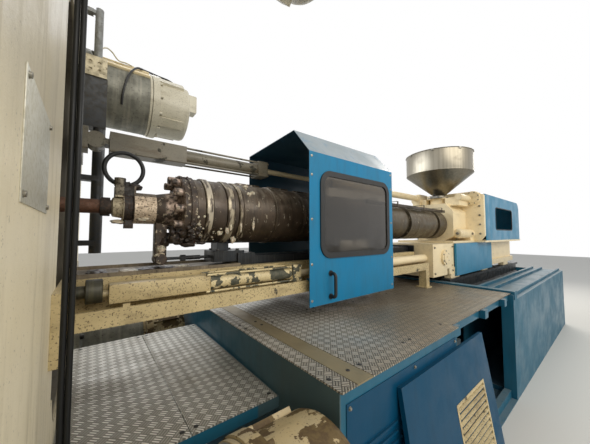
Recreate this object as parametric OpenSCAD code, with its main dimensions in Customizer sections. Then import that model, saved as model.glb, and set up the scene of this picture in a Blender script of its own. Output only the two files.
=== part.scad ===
// Two-platen injection moulding machine.
// X runs along the injection axis towards the hopper, the operator stands on the -Y side, Z is up.
// The origin is on the floor, on the centreline, under the fixed platen's mould face.

/* [Platens] */
// Height of the injection axis above the floor
axis_z = 1950; // [1900:10:2000]
// Width of both platens
platen_w = 3200; // [3100:20:3300]
// Height of both platens
platen_h = 3300; // [3200:20:3360]
// Thickness of the fixed platen
platen_t = 700; // [680:10:740]
// Thickness of the moving platen
moving_t = 750; // [700:10:800]
// Corner radius of the platens
platen_r = 90; // [40:10:140]
// Distance between the platens when the machine is open
daylight = 2400; // [2300:50:2500]
// Travel of the moving platen
close_travel = 1400; // [1300:50:1500]
// Width of the pocket in the back of each platen
pocket_w = 1000; // [900:20:1100]
// Height of the pocket in the back of each platen
pocket_h = 1900; // [1700:20:2000]
// Depth of the pocket in the back of each platen
pocket_d = 500; // [440:10:540]
// Diameter of the locating ring bore
locating_d = 250; // [200:10:300]
// Diameter of the tapped mould bolt holes
mould_bolt_d = 33; // [26:1:40]

/* [Tie bars] */
// Half of the distance between tie bars, across the machine
tie_y = 1130; // [1110:10:1180]
// Half of the distance between tie bars, up the machine
tie_z = 1180; // [1160:10:1220]
// Diameter of a tie bar
tie_d = 320; // [290:5:330]
// Spacing of the locking grooves
groove_pitch = 50; // [50:5:60]
// Depth of a locking groove
groove_depth = 12; // [8:1:15]
// Clear gap between a nut tooth and its groove, on each side
tooth_gap = 1; // [0.5:0.1:1.5]
// Length of a half nut along the bar
nut_len = 300; // [280:10:340]
// Travel of each half nut when it opens
nut_open = 60; // [40:5:70]

/* [Clamp cylinders] */
// Outer diameter of a clamp cylinder
clamp_od = 600; // [560:10:620]
// Bore of a clamp cylinder
clamp_bore = 460; // [430:10:480]
// Length of a clamp cylinder body
clamp_len = 530; // [500:10:560]
// Length of the end cap behind it
cap_len = 350; // [320:10:380]

/* [Clamp bed] */
// Length of the bed on the clamp side
bed_len = 4900; // [4800:50:5200]
// Distance of each bed beam from the centreline
beam_y = 1000; // [960:10:1040]
// Width of the bed beams' flanges
beam_w = 440; // [400:10:480]
// Thickness of the hardened way strips
way_t = 20; // [16:1:25]
// Distance of the guard fence from the centreline
fence_y = 1900; // [1850:10:1950]
// Height of the guard fence
fence_h = 2500; // [2400:20:2600]

/* [Injection base] */
// Height of the tread deck
deck_z = 1130; // [1100:5:1150]
// Left side of the base
base_x0 = 1630; // [1600:10:1660]
// Right end of the base
base_x1 = 8300; // [8200:50:8500]
// Half of the base's width
base_half = 1150; // [1120:10:1180]
// Plate thickness of the welded base
base_plate = 12; // [10:1:16]
// Start of the opening in the front wall
open_x0 = 2860; // [2800:10:2900]
// End of the opening in the front wall
open_x1 = 4440; // [4300:10:4460]
// Height of the lower walkway
walk_z = 913; // [880:1:940]
// Top of the carriage rails
rail_z = 1180; // [1170:5:1190]

/* [Injection unit] */
// Inner diameter of the barrel
barrel_bore = 180; // [170:1:190]
// Outer diameter of the barrel
barrel_od = 360; // [340:5:370]
// Rear end of the barrel
barrel_x1 = 5700; // [5650:10:5760]
// Travel of the carriage away from the mould
carriage_travel = 600; // [500:20:640]
// Injection stroke of the screw
shot = 500; // [450:10:520]
// Radial clearance of a running fit
run_gap = 0.05; // [0.03:0.01:0.08]
// Gap between pieces that only lie together
seat_gap = 0.2; // [0.1:0.05:0.3]
// Gap under a piece that slides on another
slide_gap = 0.3; // [0.2:0.05:0.5]
// Pitch of the screw flight
flight_pitch = 180; // [150:10:200]
// Bore of the two pull-in cylinders
pull_bore = 80; // [70:2:86]
// Distance of a pull-in cylinder from the axis, across the machine
pull_y = 300; // [290:5:310]
// Distance of a pull-in cylinder from the axis, up or down
pull_z = 470; // [460:5:480]
// Centre of the hopper along the machine
hopper_x = 5460; // [5440:10:5480]
// Rim diameter of the hopper
hopper_d = 1110; // [1000:10:1200]
// Height of the hopper's rim above the floor
hopper_z = 3140; // [3000:20:3300]

/* [Purge guard] */
// Left edge of the purge guard
guard_x0 = 2070; // [2050:10:2100]
// Right edge of the purge guard
guard_x1 = 3195; // [3150:5:3250]
// Distance of the guard's front and back panels from the centreline
guard_y = 470; // [462:2:480]
// Height of the guard's lower edge
guard_z0 = 1247; // [1240:1:1290]
// Height of the guard's front panel at its top
guard_z1 = 2420; // [2400:10:2460]
// Height of the guard's ridge
guard_ridge = 2637; // [2620:1:2660]
// Sheet thickness of the guard
guard_t = 5; // [4:0.5:6]
// Travel of the purge guard towards the platen
guard_travel = 1150; // [1000:50:1200]

/* [Hidden] */
$fn = 48;

platen_z0 = axis_z - platen_h / 2;
bed_top = platen_z0 - way_t;
moving_x = -daylight;
moving_back = moving_x - moving_t;
tie_end = 1180;
bar_end = 40 - bed_len;
clamp_x1 = platen_t + clamp_len;
cap_x1 = clamp_x1 + cap_len;

module box(x0, x1, y0, y1, z0, z1) {
    translate([x0, y0, z0]) cube([x1 - x0, y1 - y0, z1 - z0]);
}
// A cylinder along X
module bar_x(d, x0, x1, y = 0, z = 0, fn = 64) {
    translate([x0, y, z]) rotate([0, 90, 0]) cylinder(d = d, h = x1 - x0, $fn = fn);
}
// A cylinder along Y
module bar_y(d, y0, y1, x = 0, z = 0, fn = 48) {
    translate([x, y0, z]) rotate([-90, 0, 0]) cylinder(d = d, h = y1 - y0, $fn = fn);
}
// A body turned about the X direction from points of [x, radius]
module turned_x(points, y = 0, z = 0, fn = 72) {
    translate([0, y, z]) rotate([0, 90, 0])
        rotate_extrude($fn = fn) polygon([for (p = points) [p[1], p[0]]]);
}
// A rectangle with round corners, centred
module round_rect(w, h, r) {
    square([w - 2 * r, h], center = true);
    square([w, h - 2 * r], center = true);
    for (sx = [-1, 1], sy = [-1, 1])
        translate([sx * (w / 2 - r), sy * (h / 2 - r)]) circle(r = r);
}
// A round-cornered block across the machine: w along Y, h along Z, from x0 to x1
module slab_x(w, h, r, x0, x1, y = 0, z = axis_z) {
    translate([x0, y, z]) rotate([90, 0, 90]) linear_extrude(x1 - x0) round_rect(w, h, r);
}
// A round-cornered plate facing the operator: w along X, h along Z, from y0 to y1
module slab_y(w, h, r, y0, y1, x, z) {
    translate([x, y1, z]) rotate([90, 0, 0]) linear_extrude(y1 - y0) round_rect(w, h, r);
}
// An outline in the Y-Z plane drawn out along X
module section_x(points, x0, x1) {
    translate([x0, 0, 0]) rotate([90, 0, 90]) linear_extrude(x1 - x0) polygon(points);
}
// Copies on a circle round the injection axis
module round_axis(n, r) {
    for (k = [0 : n - 1]) translate([0, 0, axis_z]) rotate([k * 360 / n, 0, 0]) translate([0, 0, r])
        children();
}
// The four tie bar places
module at_ties() {
    for (sy = [-1, 1], sz = [-1, 1]) translate([0, sy * tie_y, axis_z + sz * tie_z]) children();
}

// Clamp bed
bed_x1 = platen_t + 20;
flange_t = 40;
sole_w = 900;
cross_w = 240;
web_w = beam_w - 200;
module bed_beam(y) {
    section_x([[y - beam_w / 2, 0], [y + beam_w / 2, 0], [y + beam_w / 2, flange_t],
        [y + web_w / 2, flange_t + 20], [y + web_w / 2, bed_top - flange_t - 20],
        [y + beam_w / 2, bed_top - flange_t], [y + beam_w / 2, bed_top],
        [y - beam_w / 2, bed_top], [y - beam_w / 2, bed_top - flange_t],
        [y - web_w / 2, bed_top - flange_t - 20], [y - web_w / 2, flange_t + 20],
        [y - beam_w / 2, flange_t]], -bed_len, bed_x1);
}
module bed_beams() {
    for (s = [-1, 1]) bed_beam(s * beam_y);
    for (x = [-bed_len, -bed_len * 2 / 3, -bed_len / 3])
        box(x, x + cross_w, -beam_y, beam_y, flange_t, bed_top - flange_t - 20);
    box(-sole_w / 2, bed_x1, -beam_y, beam_y, 0, flange_t);
    box(0, bed_x1 - 20, -beam_y, beam_y, flange_t - 1, bed_top - flange_t - 20);
    for (s = [-1, 1]) box(0, platen_t, s * beam_y - beam_w / 2, s * beam_y + beam_w / 2,
        bed_top - 1, platen_z0);
}
anchor_d = 36;
anchor_x = [-bed_len + 400, 240 - bed_len / 2, -700];
anchor_y = beam_y + beam_w / 2 - 45;
module clamp_bed() {
    color("#1d5f8a") difference() {
        bed_beams();
        for (x = anchor_x, s = [-1, 1])
            translate([x, s * anchor_y, -1]) cylinder(d = anchor_d, h = flange_t + 22);
    }
}
way_x0 = moving_back - 420;
module bed_ways() {
    color("#8d8f90") for (s = [-1, 1])
        box(way_x0, -20, s * beam_y - 150, s * beam_y + 150, bed_top, platen_z0 - slide_gap);
}

// Platens
mould_bolts = [[450, 450], [800, 450], [450, 900]];
module mould_bolt_holes(x0, depth) {
    for (p = mould_bolts, sy = [-1, 1], sz = [-1, 1])
        bar_x(mould_bolt_d, x0, x0 + depth, sy * p[0], axis_z + sz * p[1], 32);
}
cheek_r = 60;
// The pocket in a platen's back, from x0 deep to the back face at x1, with rounded cheeks
module platen_pocket(x0, x1, s) {
    deep = s > 0 ? [x0, x1 + 1] : [x0 - 1, x1];
    slab_x(pocket_w, pocket_h, 140, deep[0], deep[1]);
    back = s > 0 ? x1 : x0;
    for (sy = [-1, 1]) difference() {
        cy = sy * (pocket_w / 2 + cheek_r);
        cx = back - s * cheek_r;
        translate([min(cx, back + s), min(sy * pocket_w / 2 - 1, cy), axis_z - pocket_h / 2 + 140])
            cube([cheek_r + 1, cheek_r + 1, pocket_h - 280]);
        translate([cx, cy, axis_z - pocket_h / 2]) cylinder(r = cheek_r, h = pocket_h);
    }
}
core_w = 380;
core_h = 620;
core_d = 260;
// Cored windows in the side walls of a casting
module side_cores(x) {
    for (s = [-1, 1], k = [-1, 0, 1])
        slab_y(core_w, core_h, 90, min(s * (platen_w / 2 - core_d), s * (platen_w / 2 + 1)),
            max(s * (platen_w / 2 - core_d), s * (platen_w / 2 + 1)), x, axis_z + k * 740);
}
locating_depth = 50;
module fixed_platen() {
    color("#cfc6ac") difference() {
        slab_x(platen_w, platen_h, platen_r, 0, platen_t);
        platen_pocket(platen_t - pocket_d, platen_t, 1);
        bar_x(locating_d, -1, locating_depth, 0, axis_z);
        bar_x(locating_d - 60, locating_depth - 1, platen_t, 0, axis_z);
        at_ties() bar_x(tie_d + 2 * seat_gap, -1, platen_t + 1);
        mould_bolt_holes(-1, 71);
        side_cores(platen_t / 2);
        for (s = [-1, 1]) bar_x(rod_d + 2 * seat_gap, -1, 141, s * stroke_y, axis_z - s * stroke_z);
    }
}

// Tie bars
nut_x0 = moving_back - nut_len - seat_gap;
groove_x0 = nut_x0 - 4 * groove_pitch;
groove_n = ceil((close_travel + nut_len) / groove_pitch) + 8;
piston_x0 = platen_t + 230;
piston_len = 180;
// One locking groove of a bar of radius r; g narrows it where a nut's tooth is cut from it
function groove(k, r, g) = let (x = groove_x0 + k * groove_pitch)
    [[x + g, r], [x + groove_pitch * 0.1 + g, r - groove_depth],
     [x + groove_pitch * 0.5 - g, r - groove_depth], [x + groove_pitch * 0.6 - g, r]];
// The grooved outline of a bar, widened by g for the teeth that close on it
function bar_profile(g) = let (r = tie_d / 2 + g) concat(
    [[bar_end, 0], [bar_end, r - 20], [bar_end + 20, r]],
    [for (k = [0 : groove_n - 1], p = groove(k, r, g)) p],
    [[tie_end - 15, r], [tie_end, r - 15], [tie_end, 0]]);
module tie_bar(sy, sz) {
    color("#b9bbba") union() {
        turned_x(bar_profile(0), sy * tie_y, axis_z + sz * tie_z);
        bar_x(clamp_bore - 2 * seat_gap, piston_x0, piston_x0 + piston_len,
            sy * tie_y, axis_z + sz * tie_z);
    }
}
module tie_bar_upper_front() tie_bar(-1, 1);
module tie_bar_upper_rear() tie_bar(1, 1);
module tie_bar_lower_front() tie_bar(-1, -1);
module tie_bar_lower_rear() tie_bar(1, -1);

// Clamp cylinders on the back of the fixed platen
flange_d = clamp_od + 90;
module clamp_cylinder(sy, sz) {
    y = sy * tie_y;
    z = axis_z + sz * tie_z;
    color("#77756c") difference() {
        turned_x([[platen_t, 0], [platen_t, flange_d / 2], [platen_t + 50, flange_d / 2],
            [platen_t + 70, clamp_od / 2], [clamp_x1, clamp_od / 2], [clamp_x1, 0]], y, z);
        bar_x(clamp_bore, platen_t + 60, clamp_x1 + 1, y, z);
        bar_x(tie_d + 2 * seat_gap, platen_t - 1, platen_t + 61, y, z);
    }
}
module clamp_cylinder_upper_front() clamp_cylinder(-1, 1);
module clamp_cylinder_upper_rear() clamp_cylinder(1, 1);
module clamp_cylinder_lower_front() clamp_cylinder(-1, -1);
module clamp_cylinder_lower_rear() clamp_cylinder(1, -1);
cap_bolts = 12;
sensor_len = 120;
port_depth = 60;
// End covers of the cylinders, with the position sensor's box on the upper rear one
module cylinder_caps() {
    color("#d8cba2") union() {
        box(cap_x1 - port_depth - 1, cap_x1 + sensor_len, tie_y - 70, tie_y + 60, axis_z + tie_z + 40,
            axis_z + tie_z + 230);
        at_ties() cylinder_cap();
    }
}
module cylinder_cap() {
    difference() {
        union() {
            turned_x([[clamp_x1, 0], [clamp_x1, clamp_od / 2 + 12], [clamp_x1 + 60, clamp_od / 2 + 12],
                [clamp_x1 + 60, clamp_od / 2 - 18], [cap_x1 - 30, clamp_od / 2 - 18],
                [cap_x1 - 8, clamp_od / 2 - 27], [cap_x1, clamp_od / 2 - 48], [cap_x1, 0]]);
            for (k = [0 : cap_bolts - 1]) rotate([k * 360 / cap_bolts, 0, 0])
                bar_x(26, clamp_x1 + 59, clamp_x1 + 84, clamp_od / 2 - 3, 0, 24);
            for (k = [0 : 3]) rotate([45 + k * 90, 0, 0])
                box(clamp_x1 + 60, cap_x1 - 60, clamp_od / 2 - 60, clamp_od / 2 + 2, -45, 45);
        }
        bar_x(44, cap_x1 - port_depth, cap_x1 + 1, 0, 150, 32);
        bar_x(clamp_bore - 60, clamp_x1 - 1, clamp_x1 + 120);
    }
}

// Frame that carries the free ends of the tie bars
end_frame_t = 140;
module tie_bar_frame() {
    x0 = -bed_len + 60;
    top = tie_z + tie_d / 2 + 110;
    half = tie_y + tie_d / 2 + 110;
    color("#1d5f8a") difference() {
        union() {
            slab_x(2 * half, 2 * top, 80, x0, x0 + end_frame_t);
            for (s = [-1, 1]) box(x0 - 20, x0 + end_frame_t + 60, s * beam_y - 200, s * beam_y + 200,
                bed_top, axis_z - top + 40);
        }
        slab_x(2 * half - 900, 2 * top - 1000, 120, x0 - 30, x0 + end_frame_t + 61);
        at_ties() bar_x(tie_d + 2 * seat_gap, x0 - 1, x0 + end_frame_t + 1);
    }
}

// Fence round the clamp, with a door on each side
rail_s = 60;
door_x0 = -2540;
door_x1 = -40;
door_z0 = 200;
door_z1 = fence_h - 40;
door_travel = 2300;
pane_w = 1800;
pane_h = 1000;
fence_x0 = door_x0 - door_travel - 310;
sheet_t = 4;
module fence_side(s) {
    y0 = s > 0 ? fence_y - rail_s : -fence_y;
    y1 = y0 + rail_s;
    for (x = [fence_x0, (fence_x0 + door_x0) / 2, door_x0 - 20 - rail_s, -30 - rail_s])
        box(x, x + rail_s, y0, y1, 0, fence_h);
    for (z = [120, fence_h - rail_s]) box(fence_x0, -30, y0, y1, z, z + rail_s);
    box(fence_x0, door_x0 - 20, s * fence_y - s * 30 - sheet_t / 2, s * fence_y - s * 30 + sheet_t / 2,
        150, fence_h - 30);
    ledge = s > 0 ? [fence_y - 1, fence_y + 55] : [-fence_y - 55, -fence_y + 1];
    box(fence_x0, -30, ledge[0], ledge[1], door_z0 - 25, door_z0 - seat_gap);
    hood = s > 0 ? [fence_y - 1, fence_y + 55] : [-fence_y - 55, -fence_y + 1];
    box(fence_x0, -30, hood[0], hood[1], door_z1 + seat_gap, door_z1 + 20);
}
module fixed_guards() {
    color("#1f78ad") union() {
        for (s = [-1, 1]) fence_side(s);
        for (s = [-1, 1], x = [fence_x0 + 300, door_x0 - 20 - rail_s, -30 - rail_s])
            box(x, x + rail_s, min(s * (fence_y - 1), s * (beam_y + web_w / 2 + seat_gap)),
                max(s * (fence_y - 1), s * (beam_y + web_w / 2 + seat_gap)), 120, 120 + rail_s);
        for (z = [120, fence_h - rail_s])
            box(fence_x0, fence_x0 + rail_s, -fence_y + 1, fence_y - 1, z, z + rail_s);
        box(fence_x0, fence_x0 + rail_s, -rail_s / 2, rail_s / 2, 120, fence_h);
        box(fence_x0 + 28, fence_x0 + 28 + sheet_t, -fence_y + 1, fence_y - 1, 150, fence_h - 30);
    }
}
door_t = 40;
door_mid_x = (door_x0 + door_x1) / 2;
door_mid_z = 1600;
door_y = fence_y + 6;
module door_leaf(s) {
    y0 = s > 0 ? door_y : -door_y - door_t;
    slab_y(door_x1 - door_x0, door_z1 - door_z0, 40, y0, y0 + door_t, door_mid_x, (door_z0 + door_z1) / 2);
}
grip_x = door_x1 - 140;
grip_z = 1250;
module door_grip(s) {
    y0 = s * (door_y + door_t);
    for (dz = [-120, 120]) bar_y(26, min(y0 - s, y0 + s * 55), max(y0 - s, y0 + s * 55), grip_x, grip_z + dz);
    translate([grip_x, y0 + s * 55, grip_z - 150]) cylinder(d = 30, h = 300);
}
module operator_door() {
    color("#1f83bd") difference() {
        union() {
            door_leaf(-1);
            door_grip(-1);
        }
        slab_y(pane_w, pane_h, 90, -door_y - door_t - 1, -door_y + 1, door_mid_x, door_mid_z);
    }
}
module operator_door_pane() {
    mid = -door_y - door_t / 2;
    color("#9fb6bd") slab_y(pane_w - 2 * seat_gap, pane_h - 2 * seat_gap, 90 - seat_gap,
        mid - 4, mid + 4, door_mid_x, door_mid_z);
}
module rear_door() {
    color("#1f83bd") difference() {
        union() {
            door_leaf(1);
            door_grip(1);
        }
        for (k = [-2 : 2]) slab_y(300, 900, 60, door_y + 6, door_y + door_t + 1,
            door_mid_x + k * 440, door_mid_z - 250);
    }
}

// Moving platen and what rides on it
stroke_y = 1440;
stroke_z = 460;
rod_d = 90;
stroke_od = 160;
moving_wall = moving_t - pocket_d;
ejector_y = 260;
ejector_z = 420;
ejector_d = 60;
module moving_platen() {
    color("#cfc6ac") difference() {
        slab_x(platen_w, platen_h, platen_r, moving_back, moving_x);
        platen_pocket(moving_back, moving_x - moving_wall, -1);
        at_ties() bar_x(tie_d + 20, moving_back - 1, moving_x + 1);
        mould_bolt_holes(moving_x - 70, 71);
        side_cores(moving_x - moving_t / 2);
        for (s = [-1, 1]) bar_x(stroke_od + 2 * seat_gap, moving_back - 1, moving_x + 1,
            s * stroke_y, axis_z - s * stroke_z);
        for (sy = [-1, 1], sz = [-1, 1]) bar_x(ejector_d + 2 * run_gap, moving_x - moving_wall - 1,
            moving_x + 1, sy * ejector_y, axis_z + sz * ejector_z);
        bar_x(160, moving_x - moving_wall - 1, moving_x + 1, 0, axis_z);
    }
}
nut_w = 230;
nut_h = 440;
house_wall = 60;
house_end = 40;
module nut_housings() {
    x0 = moving_back - nut_len - 2 * seat_gap - house_end;
    half_y = nut_w + nut_open + 30;
    color("#6f7274") at_ties() difference() {
        box(x0, moving_back, -half_y, half_y, -nut_h / 2 - house_wall, nut_h / 2 + house_wall);
        box(moving_back - nut_len - 2 * seat_gap, moving_back + 1, -half_y - 1, half_y + 1,
            -nut_h / 2 - seat_gap, nut_h / 2 + seat_gap);
        bar_x(tie_d + 20, x0 - 1, moving_back + 1);
    }
}
module half_nuts(s) {
    x1 = moving_back - seat_gap;
    color("#8a7f63") at_ties() translate([0, s * nut_open, 0]) difference() {
        union() {
            box(x1 - nut_len, x1, s > 0 ? 1 : -nut_w, s > 0 ? nut_w : -1, -nut_h / 2, nut_h / 2);
            bar_y(70, s > 0 ? nut_w - 1 : -nut_w - 40, s > 0 ? nut_w + 40 : -nut_w + 1, x1 - nut_len / 2);
        }
        turned_x(bar_profile(tooth_gap));
    }
}
module front_half_nuts() half_nuts(-1);
module rear_half_nuts() half_nuts(1);
stroke_len = close_travel + 240;
stroke_gland = 60;
module stroke_cylinders() {
    x1 = moving_x - 40;
    x0 = x1 - stroke_len;
    color("#4c4f52") for (s = [-1, 1]) difference() {
        union() {
            bar_x(stroke_od, x0, x1, s * stroke_y, axis_z - s * stroke_z);
            bar_x(stroke_od + 60, moving_back - 50, moving_back, s * stroke_y, axis_z - s * stroke_z);
        }
        bar_x(stroke_od - 40, x0 + 40, x1 - stroke_gland, s * stroke_y, axis_z - s * stroke_z);
        bar_x(rod_d + 2 * run_gap, x1 - stroke_gland - 1, x1 + 1, s * stroke_y, axis_z - s * stroke_z);
    }
}
module stroke_rods() {
    px = moving_x - 40 - stroke_gland - 20;
    color("#c9ccce") for (s = [-1, 1]) {
        bar_x(rod_d, px - 10, 140, s * stroke_y, axis_z - s * stroke_z);
        bar_x(stroke_od - 40 - 2 * run_gap, px - 90, px, s * stroke_y, axis_z - s * stroke_z);
    }
}
ejector_travel = 180;
ejector_plate_t = 80;
ejector_x1 = moving_x - moving_wall - ejector_travel - 20;
bridge_t = 50;
module ejector_cylinder() {
    x0 = moving_back - bridge_t;
    color("#4c4f52") difference() {
        union() {
            box(x0, moving_back, -pocket_w / 2 - 100, pocket_w / 2 + 100, axis_z - 150, axis_z + 150);
            turned_x([[x0 - 320, 0], [x0 - 320, 118], [x0 - 270, 118], [x0 - 270, 104], [x0 - 50, 104],
                [x0 - 50, 118], [x0, 118], [x0, 0]], 0, axis_z);
        }
        bar_x(160, x0 - 280, x0 - 20, 0, axis_z);
        bar_x(80 + 2 * run_gap, x0 - 40, moving_back + 1, 0, axis_z);
    }
}
module ejector_plate() {
    x0 = ejector_x1 - ejector_plate_t;
    color("#8d8f90") union() {
        slab_x(2 * ejector_y + 200, 2 * ejector_z + 200, 40, x0, ejector_x1);
        for (sy = [-1, 1], sz = [-1, 1])
            bar_x(ejector_d, x0, moving_x - 10, sy * ejector_y, axis_z + sz * ejector_z);
        bar_x(80, moving_back - bridge_t - 255, x0 + 1, 0, axis_z);
        bar_x(159.9, moving_back - bridge_t - 275, moving_back - bridge_t - 225, 0, axis_z);
    }
}

// Injection base
deck_t = 8;
frame_z = deck_z - deck_t;
ledge_x0 = 4500;
ledge_x1 = 4600;
ledge_z1 = deck_z + 20;
front_set = 50;
trough_y = 600;
trough_z = deck_z - 170;
side_deck_z = deck_z - 70;
walk_x0 = platen_t + 22;
walk_y = 710;
header_h = 70;
// Upright walls round the base
module base_walls() {
    t = base_plate;
    box(base_x0, base_x1, -base_half, base_half, 0, t);
    box(base_x0, base_x0 + t, -base_half, base_half, 0, frame_z);
    box(base_x1 - t, base_x1, -base_half, base_half, 0, side_deck_z);
    box(base_x0, ledge_x1, base_half - t, base_half, 0, frame_z);
    box(ledge_x0, base_x1, base_half - t, base_half, 0, side_deck_z);
    box(base_x0, open_x0, -base_half, t - base_half, 0, frame_z);
    box(open_x0 - t, open_x0, -base_half, front_set - base_half + 60, 0, frame_z);
    box(open_x1, base_x1, -base_half, t - base_half, 0, side_deck_z);
    box(open_x1, open_x1 + t, -base_half, front_set - base_half + 60, 0, frame_z);
    box(open_x0, open_x1, front_set - base_half, front_set - base_half + 60, 0, 90);
    box(open_x0, ledge_x0, front_set - base_half, front_set - base_half + 60, frame_z - header_h, frame_z);
}
// Beams that carry the deck
module deck_beams() {
    for (x = [base_x0, 2300, 2860, 3500, 4100]) box(x, x + 80, 1 - base_half, base_half - 1,
        frame_z - header_h, frame_z);
    for (y = [-216, 500]) box(base_x0, ledge_x0, y - 40, y + 40, frame_z - header_h, frame_z);
}
// Channel with the carriage rails' bedding, behind the ledge
module rear_channel() {
    t = base_plate;
    box(ledge_x0, ledge_x1, -base_half, base_half, deck_z - 110, ledge_z1);
    box(ledge_x0, ledge_x1, -base_half, base_half, 0, 60);
    for (s = [-1, 1]) {
        box(ledge_x1 - 1, base_x1, min(s * trough_y, s * (trough_y + t)), max(s * trough_y, s * (trough_y + t)),
            0, side_deck_z);
        box(ledge_x1 - 1, base_x1, min(s * trough_y, s * base_half), max(s * trough_y, s * base_half),
            side_deck_z - t, side_deck_z);
        for (y = [trough_y + 100, trough_y + 240, base_half - 60])
            box(ledge_x1 - 1, base_x1, s * y - 12, s * y + 12, side_deck_z - 1, side_deck_z + 40);
    }
    box(ledge_x1 - 1, base_x1, -trough_y, trough_y, trough_z - t, trough_z);
    for (x = [5200 : 1000 : base_x1 - 100]) box(x, x + 60, -trough_y, trough_y, base_plate - 1, trough_z - t + 1);
}
// Frame under the lower walkway, between the platen and the base
module walkway_frame() {
    z1 = walk_z - deck_t;
    for (s = [-1, 1]) {
        box(walk_x0, base_x0 + 1, s * (walk_y - 30) - 30, s * (walk_y - 30) + 30, z1 - 60, z1);
        box(walk_x0, walk_x0 + 60, s * (walk_y - 30) - 30, s * (walk_y - 30) + 30, 0, z1 - 1);
    }
    for (x = [walk_x0, base_x0 - 60]) box(x, x + 60, -walk_y, walk_y, z1 - 60, z1);
}
module injection_base() {
    color("#135a86") union() {
        base_walls();
        deck_beams();
        rear_channel();
        walkway_frame();
    }
}
louvre_n = 14;
louvre_x0 = base_x0 + 90;
louvre_x1 = open_x0 - 70;
louvre_pitch = 46;
module louvre_panel() {
    y1 = -base_half - seat_gap;
    color("#14618c") union() {
        box(base_x0 + 40, open_x0 - 30, y1 - 4, y1, 60, frame_z - 60);
        for (k = [0 : louvre_n - 1], j = [0, 1, 2]) {
            w = (louvre_x1 - louvre_x0 - 80) / 3;
            x = louvre_x0 + j * (w + 40);
            intersection() {
                bar_x(26, x, x + w, y1 - 3, 240 + k * louvre_pitch, 24);
                box(x, x + w, y1 - 14, y1 - 3, 240 + k * louvre_pitch - 14, 240 + k * louvre_pitch + 3);
            }
        }
    }
}
strip_x1 = base_x0 + 100;
smooth_x1 = base_x0 + 216;
plate_x1 = 2340;
plate_y = -216;
over = 15;
seam = 4;
module tread_plates() {
    y0 = -base_half - over;
    y1 = base_half;
    z0 = frame_z;
    color("#8d8470") union() {
        box(base_x0, strip_x1, y0, y1, z0, deck_z);
        box(strip_x1 + seam, smooth_x1, y0, y1, z0, deck_z);
        box(smooth_x1 + seam, plate_x1, y0, y1, z0, deck_z);
        box(plate_x1 + seam, open_x0, y0, plate_y, z0, deck_z);
        box(open_x0 - 1, ledge_x0 - seam, y0 + front_set, plate_y, z0, deck_z);
        box(plate_x1 + seam, ledge_x0 - seam, plate_y + seam, y1, z0, deck_z);
        for (k = [0, 1]) box(walk_x0 + k * 450, min(walk_x0 + k * 450 + 446, base_x0 - seam), -walk_y, walk_y,
            walk_z - deck_t, walk_z);
    }
}

// Cover taken off the base, standing on the floor and leaning on it
cover_x0 = 2060;
cover_w = 1220;
cover_h = 1010;
cover_t = 26;
cover_lean = 9;
grille_x = 560;
grille_w = 500;
grille_h = 520;
grille_z = 200;
slats = 12;
cover_y = -base_half - 4 - 2 * seat_gap - cover_h * sin(cover_lean);
module at_cover() {
    translate([cover_x0, cover_y, 0]) rotate([-cover_lean, 0, 0]) children();
}
module removed_cover() {
    color("#14618c") at_cover() difference() {
        box(0, cover_w, -cover_t, 0, 0, cover_h);
        box(3, cover_w - 3, 3 - cover_t, 1, 3, cover_h - 3);
        box(grille_x, grille_x + grille_w, -cover_t - 1, 1, grille_z, grille_z + grille_h);
    }
}
module cover_grille() {
    g = seat_gap;
    pitch = (grille_h - 40) / slats;
    color("#cdbb93") at_cover() union() {
        difference() {
            box(grille_x + g, grille_x + grille_w - g, -cover_t - 2, 6 - cover_t, grille_z + g,
                grille_z + grille_h - g);
            box(grille_x + 20, grille_x + grille_w - 20, -cover_t - 3, 7 - cover_t, grille_z + 20,
                grille_z + grille_h - 20);
        }
        for (k = [0 : slats - 1])
            translate([grille_x + 19, 2 - cover_t, grille_z + 20 + (k + 0.5) * pitch])
                rotate([30, 0, 0]) translate([0, -10, -1.5]) cube([grille_w - 38, 20, 3]);
    }
}

// Tracks of the purge guard and the tray between them
track_x1 = 4130;
track_z0 = axis_z - 602;
lip_y = 400;
lip_t = 14;
shoe_set = 40;
web_y = 195;
web_t = 20;
lip_h = 85;
track_top = track_z0 + 212;
plate_end = 30;
plate_half = 700;
module guard_track(s) {
    t = lip_t;
    color("#cdbf95") union() {
        section_x([for (p = [[lip_y, 0], [web_y, 0], [web_y, 200], [web_y - 45, 200], [web_y - 45, 212],
            [web_y + web_t, 212], [web_y + web_t, t], [lip_y - t, t], [lip_y - t, lip_h], [lip_y, lip_h]])
            [s * p[0], track_z0 + p[1]]], platen_t + 1, track_x1);
        box(platen_t, platen_t + plate_end, min(s * (web_y - 45), s * plate_half),
            max(s * (web_y - 45), s * plate_half), track_z0 - 20, track_top + 20);
        box(track_x1 - 80, track_x1, min(s * lip_y, s * (lip_y - 90)), max(s * lip_y, s * (lip_y - 90)),
            deck_z, track_z0 + 1);
        for (x = [guard_x0 + shoe_set - guard_travel - 30 - slide_gap, guard_x1 - shoe_set + slide_gap])
            box(x, x + 30, min(s * lip_y, s * (lip_y - t)), max(s * lip_y, s * (lip_y - t)),
                track_z0 + lip_h - 1, track_z0 + lip_h + 15);
        box(track_x1 - 110, track_x1 + 20, min(s * (lip_y + 20), s * (lip_y - 120)),
            max(s * (lip_y + 20), s * (lip_y - 120)), deck_z, deck_z + 12);
    }
}
module guard_track_front() guard_track(-1);
module guard_track_rear() guard_track(1);
tray_x1 = 1640;
module drip_tray() {
    y = web_y + web_t;
    color("#8a8577") difference() {
        box(platen_t + plate_end + 5, tray_x1, -y, y, track_top, track_top + 22);
        box(platen_t + plate_end + 8, tray_x1 - 3, 3 - y, y - 3, track_top + 3, track_top + 23);
    }
}

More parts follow.
